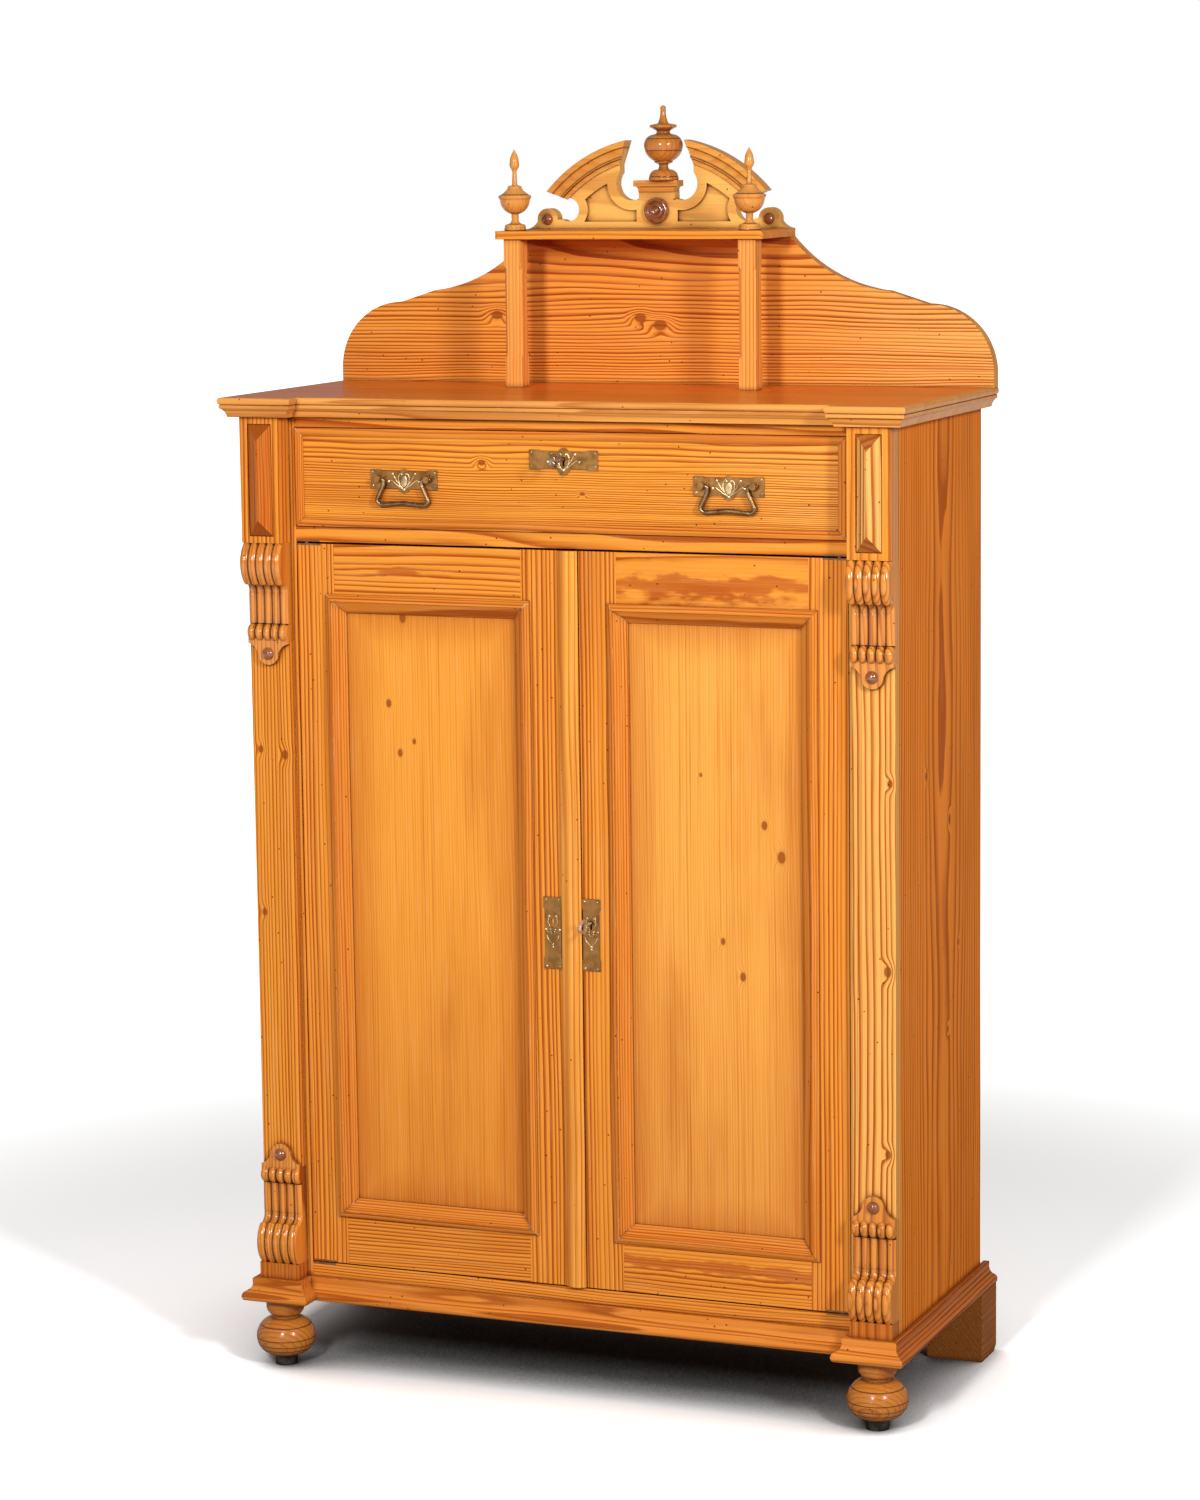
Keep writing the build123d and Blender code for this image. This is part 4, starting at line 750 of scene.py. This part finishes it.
# ---------------------------------------------------------------- gallery
# A wide board with swept ends stands at the back, and two chamfered posts carry a small shelf.
# Turned finials, lighter than the urn, stand on the shelf's front corners.
GALLERY_LIGHT = (0.93, 0.350, 0.050, 1)
GALLERY_DARK = (0.38, 0.068, 0.005, 1)
POST_LIGHT = (0.93, 0.40, 0.085, 1)
POST_DARK = (0.62, 0.17, 0.02, 1)
FINIAL_LIGHT = (0.80, 0.330, 0.062, 1)
FINIAL_DARK = (0.46, 0.140, 0.020, 1)
gallery_knots = ((1.563, -0.028, 0.0065), (1.552, 0.004, 0.0075), (1.566, -0.263, 0.0065))
dress(pine("gallery_pine", "x", GALLERY_LIGHT, GALLERY_DARK, ring=0.0030, pith=(1.690, -0.06), wander=0.022,
           knots=gallery_knots, seed=55.0, depth_of_tone=1.25, right_light=0.5),
      "gallery_back")
dress(pine("shelf_pine", "x", ring=0.0050, pith=(1.9, 0.3), wander=0.03, seed=57.0, wear=0.7),
      "gallery_shelf")
dress(pine("post_pine", "z", POST_LIGHT, POST_DARK, ring=0.0048, pith=(0.6, 0.4), seed=59.0, wear=0.8,
           wax_and_shade=1.0),
      "gallery_posts")
dress(pine("finial_pine", "z", FINIAL_LIGHT, FINIAL_DARK, ring=0.0050, pith=(0.03, 0.30), wander=0.02,
           seed=61.0, rough=0.22, coat=0.35, wear=0.2, depth_of_tone=0.35, shine=0.1,
           scores=(1.7065, 1.7225, 1.7500)),
      "gallery_finials")


# ---------------------------------------------------------------- crest
# A sawn and sunk board under two arched mouldings, with a small cap and a turned urn.
# Dark stained bosses are let into it and into the corbels.
BOARD_LIGHT = (1.00, 0.54, 0.125, 1)
CREST_LIGHT = (0.88, 0.375, 0.065, 1)
CREST_DARK = (0.58, 0.165, 0.020, 1)
ARCH_RADIUS = 0.233
ARCH_TOP_X = 0.0473                  # the arches end, highest, this far from the middle
arch_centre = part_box("crest_arches")[1].z - math.sqrt(ARCH_RADIUS ** 2 - ARCH_TOP_X ** 2)
dress(pine("crest_pine", "x", BOARD_LIGHT, CREST_DARK, ring=0.0090, pith=(1.76, 0.02), wander=0.05, seed=63.0,
           wear=0.9, depth_of_tone=0.45, wax_and_shade=1.0, coat=0.2, reach_of_wax_and_shade=0.013),
      "crest_board")
dress(pine("arch_pine", "x", CREST_LIGHT, CREST_DARK, ring=0.0070, pith=(1.70, 0.05), wander=0.012, seed=65.0,
           wear=1.0, depth_of_tone=0.45, wax_and_shade=1.0, coat=0.2, arcs=(arch_centre, 0.2235, 0.2110, 0.2080)),
      "crest_arches", "crest_cap")
dress(pine("urn_pine", "z", TURNED_LIGHT, TURNED_DARK, ring=0.0065, pith=(0.05, 0.30), wander=0.03, seed=67.0,
           scores=(1.7735, 1.8120, 1.8300), rough=0.20, coat=0.45, wear=0.2, depth_of_tone=0.5, shine=0.2),
      "crest_urn")


def stained(name, bright, deep):
    """Dark stained and polished turnings."""
    finish = Finish(bpy.data.materials.new(name))
    cloud = finish.noise(finish.join(*finish.place()), 140.0, 4.0)
    soft, edge = finish.rounding(0.0008)
    corner = 1 - finish.openness(0.005)
    colour = finish.blend((0.5 + cloud * 1.4 + edge * 0.4 - corner * 0.7).ease(0.0, 1.0), deep, bright)
    return finish.close(colour, 0.16 + corner * 0.3, cloud, 0.0002, soft, coat=1.0, shine=0.4)


dress(stained("boss_stain", (0.42, 0.13, 0.035, 1), (0.16, 0.040, 0.012, 1)), "turned_bosses")


# ---------------------------------------------------------------- studio
# A plain pale floor with a painted shadow under the cabinet, two broad soft lamps in front and even light all
# round.
# Camera, mirrors and clear glass see the floor's far part and the world as white.
PAINTED_FLOOR_SHADOW = (0.03, 0.03, 0.03, 1)        # painted shadow on the floor right under the cabinet
FLOOR_LIT = (0.5, 0.5, 0.5, 1)       # as it lights the cabinet
FLOOR_SEEN = (2.2, 2.2, 2.2, 1)      # as the camera sees it
FLOOR_FADE = (1.2, 3.2)              # distances from the middle between which it turns plain white
FLOOR_SPAN = 40.0


def rays(finish):
    """1 on what the camera, a mirror or clear glass sees."""
    kinds = ("Is Camera Ray", "Is Glossy Ray", "Is Transmission Ray")
    return [finish.node("ShaderNodeLightPath", output=kind) for kind in kinds]


def studio_white(finish):
    """Lit white that also shows as white to the camera, in mirrors and through glass."""
    camera_ray, glossy_ray, clear_ray = rays(finish)
    x, y = finish.place()[:2]
    far = distance(x, y).ease(*FLOOR_FADE)
    # Painted shadow: the floor goes dark where the cabinet closes it in.
    under = finish.openness(0.5, 8).ease(0.10, 0.95)
    shade = finish.blend(camera_ray, FLOOR_LIT, FLOOR_SEEN)
    lit = finish.node("ShaderNodeBsdfDiffuse", None, {"Color": finish.blend(under, PAINTED_FLOOR_SHADOW, shade)})
    seen = camera_ray + glossy_ray + clear_ray
    bright = finish.node("ShaderNodeEmission", None, {"Color": (1, 1, 1, 1), "Strength": seen * far})
    return finish.node("ShaderNodeAddShader", None, (lit, bright))


floor_mesh = bpy.data.meshes.new("floor")
floor_corners = [(x * FLOOR_SPAN, y * FLOOR_SPAN, 0) for x, y in ((-1, -1), (1, -1), (1, 1), (-1, 1))]
floor_mesh.from_pydata(floor_corners, [], [(0, 1, 2, 3)])
floor = bpy.data.objects.new("floor", floor_mesh)
bpy.context.scene.collection.objects.link(floor)
floor_finish = Finish(bpy.data.materials.new("floor_white"))
floor_mesh.materials.append(floor_finish.end("ShaderNodeOutputMaterial", studio_white(floor_finish)))

EVEN_LIGHT = 0.22
MIRRORED_LIGHT = 0.10                # added where a mirror sees the world
world = bpy.data.worlds.new("studio")
bpy.context.scene.world = world
sky = Finish(world)
camera_ray, glossy_ray, clear_ray = rays(sky)
brightness = EVEN_LIGHT + camera_ray.most(clear_ray) * (1 - EVEN_LIGHT) + glossy_ray * MIRRORED_LIGHT
glow = sky.node("ShaderNodeBackground", None, {"Color": (1, 1, 1, 1), "Strength": brightness})
sky.end("ShaderNodeOutputWorld", glow)
LAMPS_AIM = Vector((0, 0, 0.9))


def softbox(name, place, power):
    """A broad soft lamp turned to the middle of the cabinet."""
    lamp = bpy.data.lights.new(name, "AREA")
    lamp.shape = "RECTANGLE"
    lamp.size = 0.5
    lamp.size_y = 0.9
    lamp.energy = power
    holder = bpy.data.objects.new(name, lamp)
    turn = (LAMPS_AIM - Vector(place)).to_track_quat("-Z", "Y")
    holder.matrix_world = Matrix.Translation(place) @ turn.to_matrix().to_4x4()
    bpy.context.scene.collection.objects.link(holder)


softbox("front_softbox", (0.22, -4.17, 2.6), 112)
softbox("side_softbox", (3.29, -2.57, 2.6), 98)


# ---------------------------------------------------------------- camera
# A long lens a little above the middle of the cabinet and to the right of it.
# Its focal length and principal point are in pixels of the image.
IMAGE_WIDTH = 1200
IMAGE_HEIGHT = 1500
SENSOR = 36.0
FOCAL = 4107.79
PRINCIPAL_X = 594.91
PRINCIPAL_Y = 743.96
camera_spot = (2.24361, -5.59612, 1.84262)
yaw = math.radians(22.12)
pitch = math.radians(8.49)
roll = math.radians(-0.73)
forward = Vector((-math.sin(yaw) * math.cos(pitch), math.cos(yaw) * math.cos(pitch), -math.sin(pitch)))
level = Vector((math.cos(yaw), math.sin(yaw), 0))
rise = level.cross(forward)
right = math.cos(roll) * level + math.sin(roll) * rise
above = -math.sin(roll) * level + math.cos(roll) * rise
lens = bpy.data.cameras.new("camera")
lens.sensor_width = SENSOR
lens.lens = SENSOR * FOCAL / IMAGE_HEIGHT
lens.shift_x = (IMAGE_WIDTH / 2 - PRINCIPAL_X) / IMAGE_HEIGHT
lens.shift_y = (PRINCIPAL_Y - IMAGE_HEIGHT / 2) / IMAGE_HEIGHT
lens.clip_end = 100
camera = bpy.data.objects.new("camera", lens)
turn = Matrix((right, above, -forward)).transposed().to_4x4()
camera.matrix_world = Matrix.Translation(camera_spot) @ turn
bpy.context.scene.collection.objects.link(camera)
bpy.context.scene.camera = camera
bpy.context.scene.view_settings.view_transform = "Standard"
